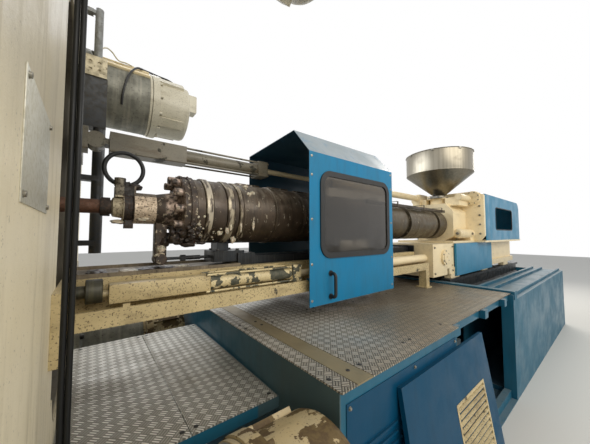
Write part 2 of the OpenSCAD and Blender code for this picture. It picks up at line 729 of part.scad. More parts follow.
// Pull-in cylinders of the injection unit, set diagonally about the axis
pull_od = pull_bore + 30;
pull_head = 150;
pull_x0 = platen_t + plate_end + seat_gap;
pull_box_x0 = 880;
pull_box_x1 = 1380;
pull_cap_x0 = pull_box_x1 + carriage_travel + 60;
pull_cap_x1 = pull_cap_x0 + 100;
pull_rod_d = 50;
pull_tube_x0 = 3100;
piston_w = 40;
module pull_cylinder(s) {
    y = s * pull_y;
    z = axis_z + s * pull_z;
    color("#cdbf95") difference() {
        union() {
            bar_x(pull_od, pull_box_x1 - 5, pull_cap_x0 + 5, y, z);
            slab_x(pull_head, pull_head, 12, pull_cap_x0, pull_cap_x1, y, z);
            slab_x(pull_head - 6, pull_head - 10, 8, pull_box_x0, pull_box_x1, y, z);
            for (dy = [-1, 1], dz = [-1, 1])
                bar_x(16, pull_box_x1 - 10, pull_cap_x1 + 18, y + dy * 58, z + dz * 58, 24);
            box(pull_x0 + 30, pull_box_x0 + 1, y - 52, y + 52, z - 20, z + 20);
            bar_y(110, y - 62, y + 62, pull_x0 + 75, z);
            slab_x(pull_head, pull_head, 10, pull_x0, pull_x0 + 34, y, z);
            if (s > 0) box(platen_t, platen_t + plate_end + 1, y - 90, plate_half, z - 90, z + 90);
            if (s > 0) slab_x(pull_head, pull_head, 10, pull_x0 - 2, pull_x0 + 34, y, z);
        }
        bar_x(pull_bore, pull_box_x1 + 10, pull_cap_x0 + 5, y, z);
        bar_x(pull_rod_d + 2 * run_gap, pull_cap_x0, pull_cap_x1 + 1, y, z);
    }
}
module pull_cylinder_front() pull_cylinder(-1);
module pull_cylinder_rear() pull_cylinder(1);
lug_x0 = hopper_x - 200;
carriage_x0 = track_x1 + 70;
module pull_rods() {
    color("#d4c79f") for (s = [-1, 1]) {
        y = s * pull_y;
        z = axis_z + s * pull_z;
        bar_x(pull_bore - 2 * run_gap, pull_box_x1 + 15, pull_box_x1 + 15 + piston_w, y, z);
        bar_x(pull_rod_d, pull_box_x1 + 15, pull_tube_x0 + 10, y, z);
        bar_x(100, pull_tube_x0, (s < 0 ? carriage_x0 : lug_x0) - seat_gap, y, z);
        bar_x(112, pull_tube_x0 - 12, pull_tube_x0 + 30, y, z);
    }
}

// Rails of the carriage
rail_y = 400;
module slide_rails() {
    color("#8d8f90") for (s = [-1, 1])
        section_x([[s * rail_y - 75, trough_z], [s * rail_y + 75, trough_z], [s * rail_y + 75, trough_z + 25],
            [s * rail_y + 30, trough_z + 45], [s * rail_y + 30, rail_z - 55], [s * rail_y + 60, rail_z - 40],
            [s * rail_y + 60, rail_z], [s * rail_y - 60, rail_z], [s * rail_y - 60, rail_z - 40],
            [s * rail_y - 30, rail_z - 55], [s * rail_y - 30, trough_z + 45],
            [s * rail_y - 75, trough_z + 25]], ledge_x1, base_x1 - 60);
}

// Valve block, pipe and hose post on the back of the fixed platen
valve_z0 = axis_z + 670;
valve_h = 400;
block_h = 160;
riser_z1 = axis_z + platen_h / 2 + 9;
module platen_manifold() {
    x = platen_t;
    z1 = valve_z0 + valve_h;
    color("#3a3b39") union() {
        box(x, x + 165, 600, 720, valve_z0, z1);
        difference() {
            box(x, x + 160, 590, 730, z1 - 1, z1 + block_h);
            for (dx = [55, 110], dz = [50, 110]) bar_y(22, 570, 600, x + dx, z1 - 1 + dz, 24);
        }
        translate([x + 100, 660, z1 + block_h - 1]) cylinder(d = 56, h = riser_z1 - z1 - block_h);
        translate([x + 125, 640, axis_z - 310]) cylinder(d = 80, h = valve_z0 + 311 - axis_z);
        for (z = [axis_z - 250, axis_z + 250]) box(x, x + 125, 600, 680, z, z + 40);
        box(x, x + 60, 640, 700, riser_z1 - 49, riser_z1 - 19);
        box(x, x + 110, 645, 675, riser_z1 - 49, riser_z1 - 19);
    }
}
// Motor, pump and tank inside the base
unit_x0 = open_x0 + 190;
unit_y = 590 - base_half;
unit_z = 420;
unit_d = 460;
unit_len = 750;
pump_x0 = unit_x0 + unit_len + 140;
pump_half = 130;
ribs = 12;
module power_unit() {
    t = base_plate;
    x1 = unit_x0 + unit_len;
    color("#3f5f74") union() {
        box(base_x0 + 150, open_x0 - 300, 200 - base_half, base_half - 200, t, side_deck_z - 240);
        bar_x(unit_d, unit_x0, x1, unit_y, unit_z);
        for (k = [0 : ribs - 1]) unit_rib(k);
        bar_x(180, x1 - 10, pump_x0 + 20, unit_y, unit_z);
        box(pump_x0, pump_x0 + 300, unit_y - pump_half, unit_y + pump_half, unit_z - 120, unit_z + 140);
        box(unit_x0 - 60, x1 + 60, unit_y - 200, unit_y + 200, t, unit_z - unit_d / 2 + 10);
        box(pump_x0 + 20, pump_x0 + 290, unit_y - 100, unit_y + 100, t, unit_z - 119);
    }
}
// One cooling rib of the motor
module unit_rib(k) {
    translate([unit_x0 + 30, unit_y, unit_z]) rotate([k * 360 / ribs, 0, 0])
        box(0, unit_len - 110, unit_d / 2 - 8, unit_d / 2 + 20, -5, 5);
}

// Injection carriage
housing_x0 = 5200;
housing_x1 = 5900;
back_x1 = 5980;
head_x0 = back_x1 + 320;
head_x1 = head_x0 + 180;
motor_x1 = head_x1 + 540;
carriage_x1 = motor_x1 + shot + 480;
enc_y = 560;
enc_x0 = back_x1 + 30;
carriage_y = 420;
carriage_z0 = 1240;
carriage_z1 = 1660;
block_x1 = carriage_x0 + 650;
table_z = 1690;
cover_x1 = 6450;
shoe_y0 = rail_y - 60;
shoe_y1 = carriage_y + 8;
module carriage_frame() {
    color("#d8cba2") difference() {
        union() {
            box(carriage_x0, block_x1, -carriage_y, carriage_y, carriage_z0, carriage_z1);
            for (s = [-1, 1]) {
                box(block_x1 - 1, carriage_x1, s * 380 - 50, s * 380 + 50, carriage_z0, carriage_z0 + 90);
                box(block_x1 - 1, carriage_x1, s * 380 - 8, s * 380 + 8, carriage_z0 + 89, table_z - 29);
                for (x = [ledge_x1 + 120, 6000, carriage_x1 - 700])
                    box(x, x + 300, min(s * shoe_y0, s * shoe_y1), max(s * shoe_y0, s * shoe_y1),
                        rail_z + slide_gap, carriage_z0 + 1);
            }
            box(block_x1 - 1, enc_x0, -carriage_y, carriage_y, table_z - 30, table_z);
            box(enc_x0 - 10, carriage_x1, -enc_y - 10, enc_y + 10, table_z - 30, table_z);
            for (x = [5600, 6700, carriage_x1 - 40]) box(x, x + 40, -380, 380, carriage_z0, table_z - 29);
            bar_y(200, -carriage_y - 26, -carriage_y + 1, carriage_x0 + 330, axis_z - pull_z, 64);
        }
        box(carriage_x0 + 420, carriage_x0 + 490, -carriage_y - 1, -carriage_y + 60, carriage_z0 - 1,
            carriage_z0 + 80);
        bar_y(40, -carriage_y - 1, -carriage_y + 60, carriage_x0 + 590, carriage_z0 + 110, 24);
        box(carriage_x0 + 60, block_x1 - 60, 60 - carriage_y, carriage_y - 60, carriage_z0 + 50,
            carriage_z1 - 60);
        box(carriage_x0 + 200, block_x1 - 200, 60 - carriage_y, carriage_y - 60, carriage_z0 - 1,
            carriage_z0 + 51);
    }
}
module carriage_covers() {
    color("#14618c") for (s = [-1, 1]) difference() {
        box(block_x1 + 2, cover_x1, s > 0 ? 430 : -456, s > 0 ? 456 : -430, rail_z + 25, table_z - 31);
        box(block_x1 + 5, cover_x1 - 3, s > 0 ? 429 : -453, s > 0 ? 453 : -429, rail_z + 28,
            table_z - 34);
    }
}

// Casting that holds the barrel's rear end and takes in the granules
cyl_y = 350;
cyl_z = -150;
guide_z = 430;
inj_od = 150;
inj_bore = 110;
inj_rod = 70;
guide_d = 70;
throat_top = 2390;
throat_d = 150;
throat_pad = 300;
// Outline of the casting: half widths at the foot, the waist and the top, with the waist's two heights
function housing_outline(foot, waist, waist_z0, waist_z1, head, head_z) = [
    [-foot, table_z + seat_gap], [foot, table_z + seat_gap], [waist, axis_z + waist_z0],
    [waist, axis_z + waist_z1], [head, axis_z + head_z], [-head, axis_z + head_z],
    [-waist, axis_z + waist_z1], [-waist, axis_z + waist_z0]];
module feed_housing() {
    color("#e2d2a6") difference() {
        union() {
            section_x(housing_outline(170, 300, -190, 200, 190, 330), housing_x0, housing_x1);
            section_x(housing_outline(400, 440, -180, 380, 330, 490), housing_x1 - 40, back_x1);
            box(5600, back_x1, -400, 400, table_z + seat_gap, table_z + 60);
            for (s = [-1, 1]) {
                turned_x([[housing_x0 + 20, 0], [housing_x0 + 20, 50], [housing_x0 + 45, inj_od / 2],
                    [housing_x1, inj_od / 2], [housing_x1, 0]], s * cyl_y, axis_z + cyl_z);
                turned_x([[housing_x0 + 90, 0], [housing_x0 + 90, 52], [housing_x1, 52], [housing_x1, 0]],
                    s * cyl_y, axis_z + guide_z);
                box(housing_x0 + 100, housing_x1, min(s * 150, s * cyl_y), max(s * 150, s * cyl_y),
                    axis_z + guide_z - 130, axis_z + guide_z);
                bar_y(200, min(s * 380, s * 452), max(s * 380, s * 452), housing_x1 - 110,
                    axis_z + guide_z, 64);
            }
            translate([hopper_x, 0, axis_z + 300]) cylinder(d = 280, h = throat_top - axis_z - 300);
            translate([hopper_x, 0, throat_top - 14])
                linear_extrude(14) round_rect(throat_pad, throat_pad, 30);
            box(lug_x0, hopper_x + 80, pull_y - 62, pull_y + 62, axis_z + 300, axis_z + pull_z + 62);
        }
        bar_x(barrel_od + 2 * seat_gap, housing_x0 - 1, barrel_x1 + seat_gap, 0, axis_z);
        bar_x(barrel_bore + 4, barrel_x1, back_x1 + 1, 0, axis_z);
        translate([hopper_x, 0, axis_z]) cylinder(d = throat_d, h = 600);
        for (s = [-1, 1]) {
            bar_x(inj_bore, housing_x0 + 60, back_x1 - 50, s * cyl_y, axis_z + cyl_z);
            bar_x(inj_rod + 2 * run_gap, back_x1 - 51, back_x1 + 1, s * cyl_y, axis_z + cyl_z);
            bar_x(guide_d + 2 * run_gap, housing_x0 + 120, back_x1 + 1, s * cyl_y, axis_z + guide_z);
        }
    }
}

// Barrel, end cap and nozzle
barrel_x0 = 1300;
module barrel() {
    color("#4a4238") difference() {
        turned_x([[barrel_x0, 0], [barrel_x0, barrel_od / 2], [barrel_x1, barrel_od / 2],
            [barrel_x1, 0]], 0, axis_z);
        bar_x(barrel_bore, barrel_x0 - 1, barrel_x1 + 1, 0, axis_z);
        translate([hopper_x, 0, axis_z]) cylinder(d = throat_d, h = barrel_od);
    }
}
cap_x0 = 1175;
cap_od = 430;
end_bolts = 12;
foot_x = 1158;
foot_z = 1622;
foot_w = 70;
foot_d = 72;
module end_cap() {
    color("#5a5145") difference() {
        union() {
            box(foot_x - foot_w / 2, foot_x + foot_w / 2, -40, 40, foot_z, axis_z - 80);
            bar_y(foot_d, -62, 62, foot_x, foot_z, 48);
            turned_x([[1120, 0], [1120, 96], [cap_x0 - 15, 120], [cap_x0, 150], [cap_x0, cap_od / 2 - 14],
                [cap_x0 + 12, cap_od / 2], [barrel_x0, cap_od / 2], [barrel_x0, 0]], 0, axis_z);
            round_axis(end_bolts, cap_od / 2 - 34) bar_x(50, cap_x0 - 42, cap_x0 + 5, 0, 0, 24);
        }
        turned_x([[1119, 0], [1119, 24], [1200, 24], [barrel_x0 + 1, barrel_bore / 2],
            [barrel_x0 + 1, 0]], 0, axis_z);
    }
}
tip_x0 = locating_depth + 15;
loop_r = 105;
hose_d = 26;
hose_y = 70;
fit_angle = 0.11;
// A stretch of the shut-off cylinder's hose loop, from a start angle
module hose_loop(angle, start) {
    translate([955, hose_y, axis_z + 150 + loop_r]) rotate([90, 70, 0]) rotate([0, 0, start])
        rotate_extrude(angle = angle, $fn = 72) translate([loop_r, 0]) children();
}
module nozzle() {
    color("#7a5a44") difference() {
        union() {
            turned_x([[tip_x0, 0], [tip_x0, 14], [tip_x0 + 12, 26], [tip_x0 + 60, 36], [tip_x0 + 90, 42],
                [835, 42], [835, 56], [882, 56], [882, 42], [888, 42], [895, 58], [940, 66], [945, 66],
                [945, 88], [990, 88], [990, 76], [1000, 76], [1000, 98], [1120, 98], [1120, 0]], 0, axis_z);
            box(905, 1010, -52, hose_y + 20, axis_z + 60, axis_z + 132);
            hose_loop(40 - 2 * fit_angle, 320 + fit_angle) square(40, center = true);
            translate([930, 0, axis_z + 131]) cylinder(d = 60, h = 50);
            box(955, 1000, -40, 40, axis_z - 128, axis_z - 70);
        }
        bar_x(48, 200, 1121, 0, axis_z, 32);
        bar_x(12, tip_x0 - 1, 201, 0, axis_z, 24);
    }
}
module nozzle_hose() {
    color("#1c1c1d") hose_loop(320, 0) circle(d = hose_d, $fn = 24);
}

// Heater bands: [start, end, outer diameter]
front_bands = [[1300, 1390, 480], [1392, 1455, 452], [1457, 1518, 470], [1520, 1620, 430],
    [1622, 1660, 456], [1662, 1700, 440], [1702, 1750, 462]];
middle_bands = [[1752, 2090, 474], [2094, 2440, 458], [2446, 2780, 458], [2786, 3120, 458],
    [3126, 3460, 458]];
rear_bands = [[3466, 3800, 448], [3806, 4140, 448], [4146, 4480, 448], [4486, 4820, 448],
    [4826, 5160, 448]];
// One heater band: two half shells with a clamping seam at the top and a terminal box below
module heater_band(b) {
    clamp = b[1] - b[0] > 200;
    difference() {
        union() {
            bar_x(b[2], b[0], b[1], 0, axis_z, 72);
            if (clamp) for (y = [-1, 1])
                box(b[0] + 30, b[1] - 30, min(y * 4, y * 22), max(y * 4, y * 22), axis_z, axis_z + b[2] / 2 + 14);
            if (clamp) box(b[0] + 100, b[0] + 220, 120, b[2] / 2 + 38, axis_z - 40, axis_z + 40);
        }
        bar_x(barrel_od + 2 * seat_gap, b[0] - 1, b[1] + 1, 0, axis_z, 72);
    }
}
module heater_bands(bands) {
    color("#4a4238") for (b = bands) heater_band(b);
}
module heater_bands_front() heater_bands(front_bands);
module heater_bands_middle() heater_bands(middle_bands);
module heater_bands_rear() heater_bands(rear_bands);

// Arm that carries the barrel, with its saddles and the rod that pushes the barrel's foot
arm_x0 = 1665;
arm_z1 = 1620;
head_z0 = 1586;
head_z1 = 1665;
arm_head_x0 = 1490;
push_d = 20;
// Saddles: [start, seat radius, half width, foot]
saddles = [[1525, 215, 60, head_z1], [2700, 229, 130, arm_z1], [3600, 224, 130, arm_z1]];
module barrel_support() {
    color("#2b3238") difference() {
        union() {
            box(arm_head_x0, arm_x0 + 60, -105, 105, head_z0, head_z1);
            bar_x(push_d, foot_x + foot_d / 2 + seat_gap, arm_head_x0 + 1, 0, foot_z, 32);
            bar_x(42, foot_x + 130, foot_x + 165, 0, foot_z, 6);
            bar_x(30, foot_x + 164, foot_x + 265, 0, foot_z, 32);
            box(arm_x0, carriage_x0 - seat_gap, -110, 110, arm_z1 - 80, arm_z1);
            box(arm_x0, carriage_x0 - seat_gap, -110, -98, arm_z1 - 180, arm_z1 - 79);
            box(arm_x0, arm_x0 + 140, -125, 125, arm_z1 - 90, arm_z1 + 26);
            for (s = saddles) box(s[0], s[0] + 90, -s[2], s[2], s[3] - 1, axis_z - s[1] + 40);
            box(carriage_x0 - 30, carriage_x0 - seat_gap, -180, 180, arm_z1 - 200, arm_z1 + 20);
        }
        for (s = saddles) bar_x(2 * s[1] + 2 * seat_gap, s[0] - 1, s[0] + 91, 0, axis_z);
    }
}

// Sheet cover over the screw drive, with a window on each side
enc_z1 = 2450;
enc_r = 170;
enc_t = 5;
drive_win_w = 1080;
drive_win_h = 390;
module enclosure_block(g) {
    x0 = enc_x0 - (g > 0 ? 1 : 0);
    z0 = table_z + (g > 0 ? -1 : seat_gap);
    translate([0, enc_y - g, 0]) rotate([90, 0, 0]) linear_extrude(2 * (enc_y - g)) union() {
        translate([x0, z0]) square([carriage_x1 - g - x0, enc_z1 - enc_r - z0]);
        translate([x0, z0]) square([carriage_x1 - enc_r - x0, enc_z1 - g - z0]);
        translate([carriage_x1 - enc_r, enc_z1 - enc_r]) circle(r = enc_r - g);
    }
}
module drive_enclosure() {
    color("#1d78ab") difference() {
        enclosure_block(0);
        enclosure_block(enc_t);
        for (s = [-1, 1]) slab_y(drive_win_w, drive_win_h, 60, min(s * (enc_y - 20), s * (enc_y + 1)),
            max(s * (enc_y - 20), s * (enc_y + 1)), enc_x0 + 870, table_z + 375);
    }
}

// Hopper and its slide gate
gate_t = 10;
gate_z0 = throat_top + 1;
hopper_z0 = gate_z0 + gate_t + slide_gap;
cone_z = hopper_z - 210;
hopper_t = 4;
gate_half = 99;
gate_travel = 170;
module hopper() {
    r = hopper_d / 2;
    color("#a9a9a6") translate([hopper_x, 0, 0]) union() {
        rotate_extrude($fn = 96) polygon([[throat_d / 2, hopper_z0], [135, hopper_z0], [135, hopper_z0 + 14],
            [throat_d / 2 + 10, hopper_z0 + 14], [throat_d / 2 + 10, hopper_z0 + 40], [r - 1, cone_z],
            [r, cone_z + 5], [r, hopper_z - 12], [r + 10, hopper_z - 12], [r + 10, hopper_z],
            [r - hopper_t, hopper_z], [r - hopper_t, cone_z + 6], [throat_d / 2, hopper_z0 + 42]]);
        for (s = [-1, 1]) translate([-130, s > 0 ? gate_half + 1 : -gate_half - 31, throat_top + seat_gap])
            cube([260, 30, hopper_z0 - throat_top]);
    }
}
module hopper_gate() {
    color("#b9bbba") difference() {
        union() {
            box(hopper_x - 190, hopper_x + 90 + gate_travel, -gate_half, gate_half, throat_top + slide_gap,
                gate_z0 + gate_t);
            box(hopper_x - 210, hopper_x - 189, -60, 60, throat_top + slide_gap, gate_z0 + 34);
        }
        translate([hopper_x, 0, gate_z0 - 5]) cylinder(d = throat_d, h = 40);
    }
}

// Screw drive behind the housing
shank_d = 150;
module crosshead() {
    color("#3f4245") difference() {
        union() {
            slab_x(920, 730, 60, head_x0, head_x1, 0, axis_z + 115);
            turned_x([[head_x0 - 60, 0], [head_x0 - 60, 160], [head_x0 + 1, 190], [head_x0 + 1, 0]], 0, axis_z);
            for (s = [-1, 1]) {
                bar_x(inj_rod, housing_x0 + 80, head_x0 + 1, s * cyl_y, axis_z + cyl_z);
                bar_x(inj_bore - 2 * run_gap, housing_x0 + 80, housing_x0 + 120, s * cyl_y, axis_z + cyl_z);
                bar_x(guide_d, housing_x0 + 135, head_x0 + 1, s * cyl_y, axis_z + guide_z);
            }
        }
        bar_x(shank_d + 2 * run_gap, head_x0 - 61, head_x1 + 1, 0, axis_z);
    }
}
module drive_motor() {
    color("#2f6f9b") difference() {
        union() {
            turned_x([[head_x1, 0], [head_x1, 230], [head_x1 + 40, 230], [head_x1 + 60, 190],
                [head_x1 + 300, 190], [head_x1 + 320, 210], [head_x1 + 380, 210], [head_x1 + 400, 160],
                [motor_x1, 150], [motor_x1, 0]], 0, axis_z);
            box(head_x1 + 120, head_x1 + 300, -90, 90, axis_z + 150, axis_z + 300);
        }
        bar_x(shank_d + 2 * run_gap, head_x1 - 1, head_x1 + 220, 0, axis_z);
    }
}
screw_x0 = 1330;
flight_x0 = 1470;
flight_n = floor((barrel_x1 - 60 - flight_x0) / flight_pitch);
flight_w = 22;
module screw() {
    r = barrel_bore / 2 - run_gap;
    root = r - 22;
    color("#9a9c9c") union() {
        turned_x(concat([[screw_x0 - 25, 0], [screw_x0, 30], [screw_x0 + 70, root], [screw_x0 + 78, r],
            [screw_x0 + 112, r], [screw_x0 + 120, root]],
            [for (k = [0 : flight_n - 1], q = [[0, root], [4, r], [flight_w, r], [flight_w + 4, root]])
                [flight_x0 + k * flight_pitch + q[0], q[1]]],
            [[barrel_x1 - 40, root], [barrel_x1 - 30, r], [barrel_x1 + 20, r], [barrel_x1 + 30, shank_d / 2],
            [head_x1 + 200, shank_d / 2], [head_x1 + 200, 0]]), 0, axis_z);
    }
}

// Purge guard
guard_back_z = guard_ridge - 42;
ridge_y = -280;
function guard_outline(t) = [[-guard_y + t, guard_z0 - t], [-guard_y + t, guard_z1 - t * 0.35],
    [ridge_y + t * 0.35, guard_ridge - t], [guard_y - t, guard_back_z - t], [guard_y - t, guard_z0 - t]];
win_x = (guard_x0 + guard_x1) / 2 + 18;
win_z = 1945;
win_w = 900;
win_h = 650;
win_r = 90;
shoe_w = 120;
module purge_guard() {
    color("#1f83bd") difference() {
        union() {
            difference() {
                section_x(guard_outline(0), guard_x0, guard_x1);
                section_x(guard_outline(guard_t), guard_x0 - 1, guard_x1 + 1);
            }
            for (s = [-1, 1], x = [guard_x0 + shoe_set, guard_x1 - shoe_set - shoe_w])
                box(x, x + shoe_w, min(s * (guard_y - 1), s * (lip_y - 12)), max(s * (guard_y - 1), s * (lip_y - 12)),
                    track_z0 + lip_h + slide_gap, track_z0 + lip_h + 16);
        }
        slab_y(win_w, win_h, win_r, -guard_y - 1, -guard_y + guard_t + 1, win_x, win_z);
    }
}
seal_w = 22;
module guard_seal() {
    y = -guard_y;
    color("#191a1b") difference() {
        union() {
            slab_y(win_w + 2 * seal_w, win_h + 2 * seal_w, win_r + seal_w, y - 12, y - seat_gap, win_x, win_z);
            slab_y(win_w - 2 * seat_gap, win_h - 2 * seat_gap, win_r, y - 1, y + guard_t + 1, win_x, win_z);
            slab_y(win_w + 2 * seal_w, win_h + 2 * seal_w, win_r + seal_w, y + guard_t + seat_gap,
                y + guard_t + 8, win_x, win_z);
        }
        slab_y(win_w - 2 * seal_w, win_h - 2 * seal_w, win_r - seal_w, y - 13, y + guard_t + 9, win_x, win_z);
    }
}
module guard_window() {
    g = seal_w + seat_gap;
    color("#8fa5ad") slab_y(win_w - 2 * g, win_h - 2 * g, win_r - g, -guard_y - 3, -guard_y + 3, win_x, win_z);
}
handle_x = guard_x0 + 220;
handle_z0 = 1300;
handle_z1 = 1480;
handle_d = 26;
handle_bend = 25;
module guard_handle() {
    y0 = -guard_y - seat_gap;
    y1 = y0 - 55;
    color("#1a1a1b") union() {
        for (k = [0, 1]) {
            z = k == 0 ? handle_z0 : handle_z1;
            bar_y(handle_d, y1 + handle_bend, y0, handle_x, z, 32);
            bar_y(44, y0 - 8, y0, handle_x, z, 32);
            translate([handle_x, y1 + handle_bend, z + (k == 0 ? handle_bend : -handle_bend)])
                rotate([k == 0 ? -90 : 180, 0, 0]) rotate([0, 90, 0])
                rotate_extrude(angle = 90, $fn = 48) translate([handle_bend, 0])
                circle(d = handle_d, $fn = 32);
        }
        translate([handle_x, y1, handle_z0 + handle_bend])
            cylinder(d = handle_d, h = handle_z1 - handle_z0 - 2 * handle_bend, $fn = 32);
    }
}

clamp_bed();
bed_ways();
fixed_platen();
tie_bar_upper_front();
tie_bar_upper_rear();
tie_bar_lower_front();
tie_bar_lower_rear();
clamp_cylinder_upper_front();
clamp_cylinder_upper_rear();
clamp_cylinder_lower_front();
clamp_cylinder_lower_rear();
cylinder_caps();
tie_bar_frame();
fixed_guards();
operator_door();
operator_door_pane();
rear_door();
injection_base();
louvre_panel();
tread_plates();
removed_cover();
cover_grille();
guard_track_front();
guard_track_rear();
drip_tray();
pull_cylinder_front();
pull_cylinder_rear();
pull_rods();
slide_rails();
platen_manifold();
power_unit();
moving_platen();
nut_housings();
front_half_nuts();
rear_half_nuts();
stroke_cylinders();
stroke_rods();
ejector_cylinder();
ejector_plate();
carriage_frame();
carriage_covers();
feed_housing();
barrel();
end_cap();
nozzle();
nozzle_hose();
heater_bands_front();
heater_bands_middle();
heater_bands_rear();
barrel_support();
drive_enclosure();
hopper();
hopper_gate();
crosshead();
drive_motor();
screw();
purge_guard();
guard_window();
guard_seal();
guard_handle();
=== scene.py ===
# Injection moulding machine: finishes, small pieces, floor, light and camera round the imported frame.
# Metres throughout, X along the injection axis, operator on -Y, Z up from the floor.
import math
import random

import bmesh
import bpy
from mathutils import Matrix, Vector, noise


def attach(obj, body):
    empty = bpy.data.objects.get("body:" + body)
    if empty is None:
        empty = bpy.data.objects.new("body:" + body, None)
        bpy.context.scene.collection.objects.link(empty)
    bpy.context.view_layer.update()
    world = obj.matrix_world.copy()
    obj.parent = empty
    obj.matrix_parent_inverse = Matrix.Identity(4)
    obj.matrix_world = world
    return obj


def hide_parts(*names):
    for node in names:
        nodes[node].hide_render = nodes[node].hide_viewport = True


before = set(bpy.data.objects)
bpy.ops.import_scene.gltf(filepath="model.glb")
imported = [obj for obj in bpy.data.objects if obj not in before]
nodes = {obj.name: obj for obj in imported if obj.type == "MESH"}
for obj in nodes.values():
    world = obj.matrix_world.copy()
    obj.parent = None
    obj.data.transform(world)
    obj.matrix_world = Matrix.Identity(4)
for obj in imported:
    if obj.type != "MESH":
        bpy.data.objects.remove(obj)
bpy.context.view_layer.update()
print("frame loaded:", len(nodes), "nodes")

# What many pieces share: the injection axis, the tie bars round it, and directions on the machine
machine = {"axisZ": 1.95, "tieY": 1.13, "tieZ": 1.18}
axisZ = machine["axisZ"]
tieAxes = [(sy * machine["tieY"], axisZ + sz * machine["tieZ"]) for sy in (-1, 1) for sz in (-1, 1)]
toHopper, toMould, toOperator, up = (1, 0, 0), (-1, 0, 0), (0, -1, 0), (0, 0, 1)

# Camera, at the photograph's place
cameraSetup = {"place": (0.80, -1.90, 1.783), "turn": (92.83, 0.0, -38.37), "lens": 15.68, "sensor": 36.0,
               "clip": (0.02, 200)}
cameraData = bpy.data.cameras.new("viewer")
cameraData.lens = cameraSetup["lens"]
cameraData.sensor_width = cameraSetup["sensor"]
cameraData.clip_start, cameraData.clip_end = cameraSetup["clip"]
viewer = bpy.data.objects.new("viewer", cameraData)
viewer.location = cameraSetup["place"]
viewer.rotation_euler = [math.radians(a) for a in cameraSetup["turn"]]
bpy.context.collection.objects.link(viewer)
bpy.context.scene.camera = viewer


# An sRGB hex colour as the linear one that a socket takes
def toLinear(hexColour):
    parts = [int(hexColour[k:k + 2], 16) / 255 for k in (1, 3, 5)]
    return tuple(c / 12.92 if c <= 0.04045 else ((c + 0.055) / 1.055) ** 2.4 for c in parts) + (1.0,)


# Adds a node, sets its properties, and links or fills its inputs
def addNode(tree, kind, inputs=None, **settings):
    made = tree.nodes.new(kind)
    for name, value in settings.items():
        setattr(made, name, value)
    for socket, value in (inputs or {}).items():
        if isinstance(value, bpy.types.NodeSocket):
            tree.links.new(value, made.inputs[socket])
        elif isinstance(value, bpy.types.Node):
            tree.links.new(value.outputs[0], made.inputs[socket])
        elif isinstance(value, str):
            made.inputs[socket].default_value = toLinear(value)
        else:
            made.inputs[socket].default_value = value
    return made


# Starts a material with its nodes "shader" and "place"; place gives the position in metres, the same on
# every piece
def startFinish(name, **sockets):
    material = bpy.data.materials.new(name)
    material.use_nodes = True
    tree = material.node_tree
    tree.nodes.clear()
    shader = addNode(tree, "ShaderNodeBsdfPrincipled", sockets, name="shader")
    addNode(tree, "ShaderNodeOutputMaterial", {"Surface": shader})
    addNode(tree, "ShaderNodeTexCoord", name="place")
    return tree


# Soft or hard edged patches about sizeMm across, stretched along X, Y, Z; 0 outside and 1 inside
def patches(tree, sizeMm, low, high, stretch=(1, 1, 1), detail=5.0, shift=0.0):
    moved = addNode(tree, "ShaderNodeMapping", {
        "Vector": tree.nodes["place"].outputs["Object"], "Location": (shift, shift * 0.7, shift * 0.3),
        "Scale": [1 / s for s in stretch]})
    cloud = addNode(tree, "ShaderNodeTexNoise", {
        "Vector": moved, "Scale": 1000 / sizeMm, "Detail": detail, "Roughness": 0.6}).outputs["Fac"]
    return addNode(tree, "ShaderNodeMapRange", {"Value": cloud, "From Min": low, "From Max": high},
                   interpolation_type="SMOOTHSTEP").outputs[0]


# 1 along edges that stick out or in, widthMm wide
def edges(tree, widthMm):
    rounded = addNode(tree, "ShaderNodeBevel", {"Radius": widthMm / 1000}, samples=4)
    flat = addNode(tree, "ShaderNodeNewGeometry").outputs["Normal"]
    same = addNode(tree, "ShaderNodeVectorMath", {0: rounded, 1: flat}, operation="DOT_PRODUCT")
    return addNode(tree, "ShaderNodeMapRange", {
        "Value": same.outputs["Value"], "From Min": 0.985, "From Max": 0.80},
        interpolation_type="SMOOTHSTEP").outputs[0]


# 1 on faces that look up, 0 on the rest
def upward(tree, low, high):
    normal = addNode(tree, "ShaderNodeNewGeometry").outputs["Normal"]
    height = addNode(tree, "ShaderNodeSeparateXYZ", {0: normal}).outputs["Z"]
    return addNode(tree, "ShaderNodeMapRange", {"Value": height, "From Min": low, "From Max": high},
                   interpolation_type="SMOOTHSTEP").outputs[0]


# 1 between two values of a coordinate, with soft ends
def between(tree, axis, low, high, soft=0.002):
    value = addNode(tree, "ShaderNodeSeparateXYZ", {0: tree.nodes["place"].outputs["Object"]}).outputs[axis]
    rise, fall = [
        addNode(tree, "ShaderNodeMapRange", {"Value": value, "From Min": outside, "From Max": inside})
        for outside, inside in ((low - soft, low + soft), (high + soft, high - soft))]
    return addNode(tree, "ShaderNodeMath", {0: rise, 1: fall}, operation="MULTIPLY").outputs[0]


# Lays colours over a base: a list of (mask, strength, colour), or of masks that hold only together
def layered(tree, base, layers):
    for masks, part, over in layers:
        for mask in masks if isinstance(masks, tuple) else (masks,):
            part = addNode(tree, "ShaderNodeMath", {0: mask, 1: part}, operation="MULTIPLY").outputs[0]
        base = addNode(tree, "ShaderNodeMixRGB", {"Fac": part, "Color1": base, "Color2": over}).outputs[0]
    return base


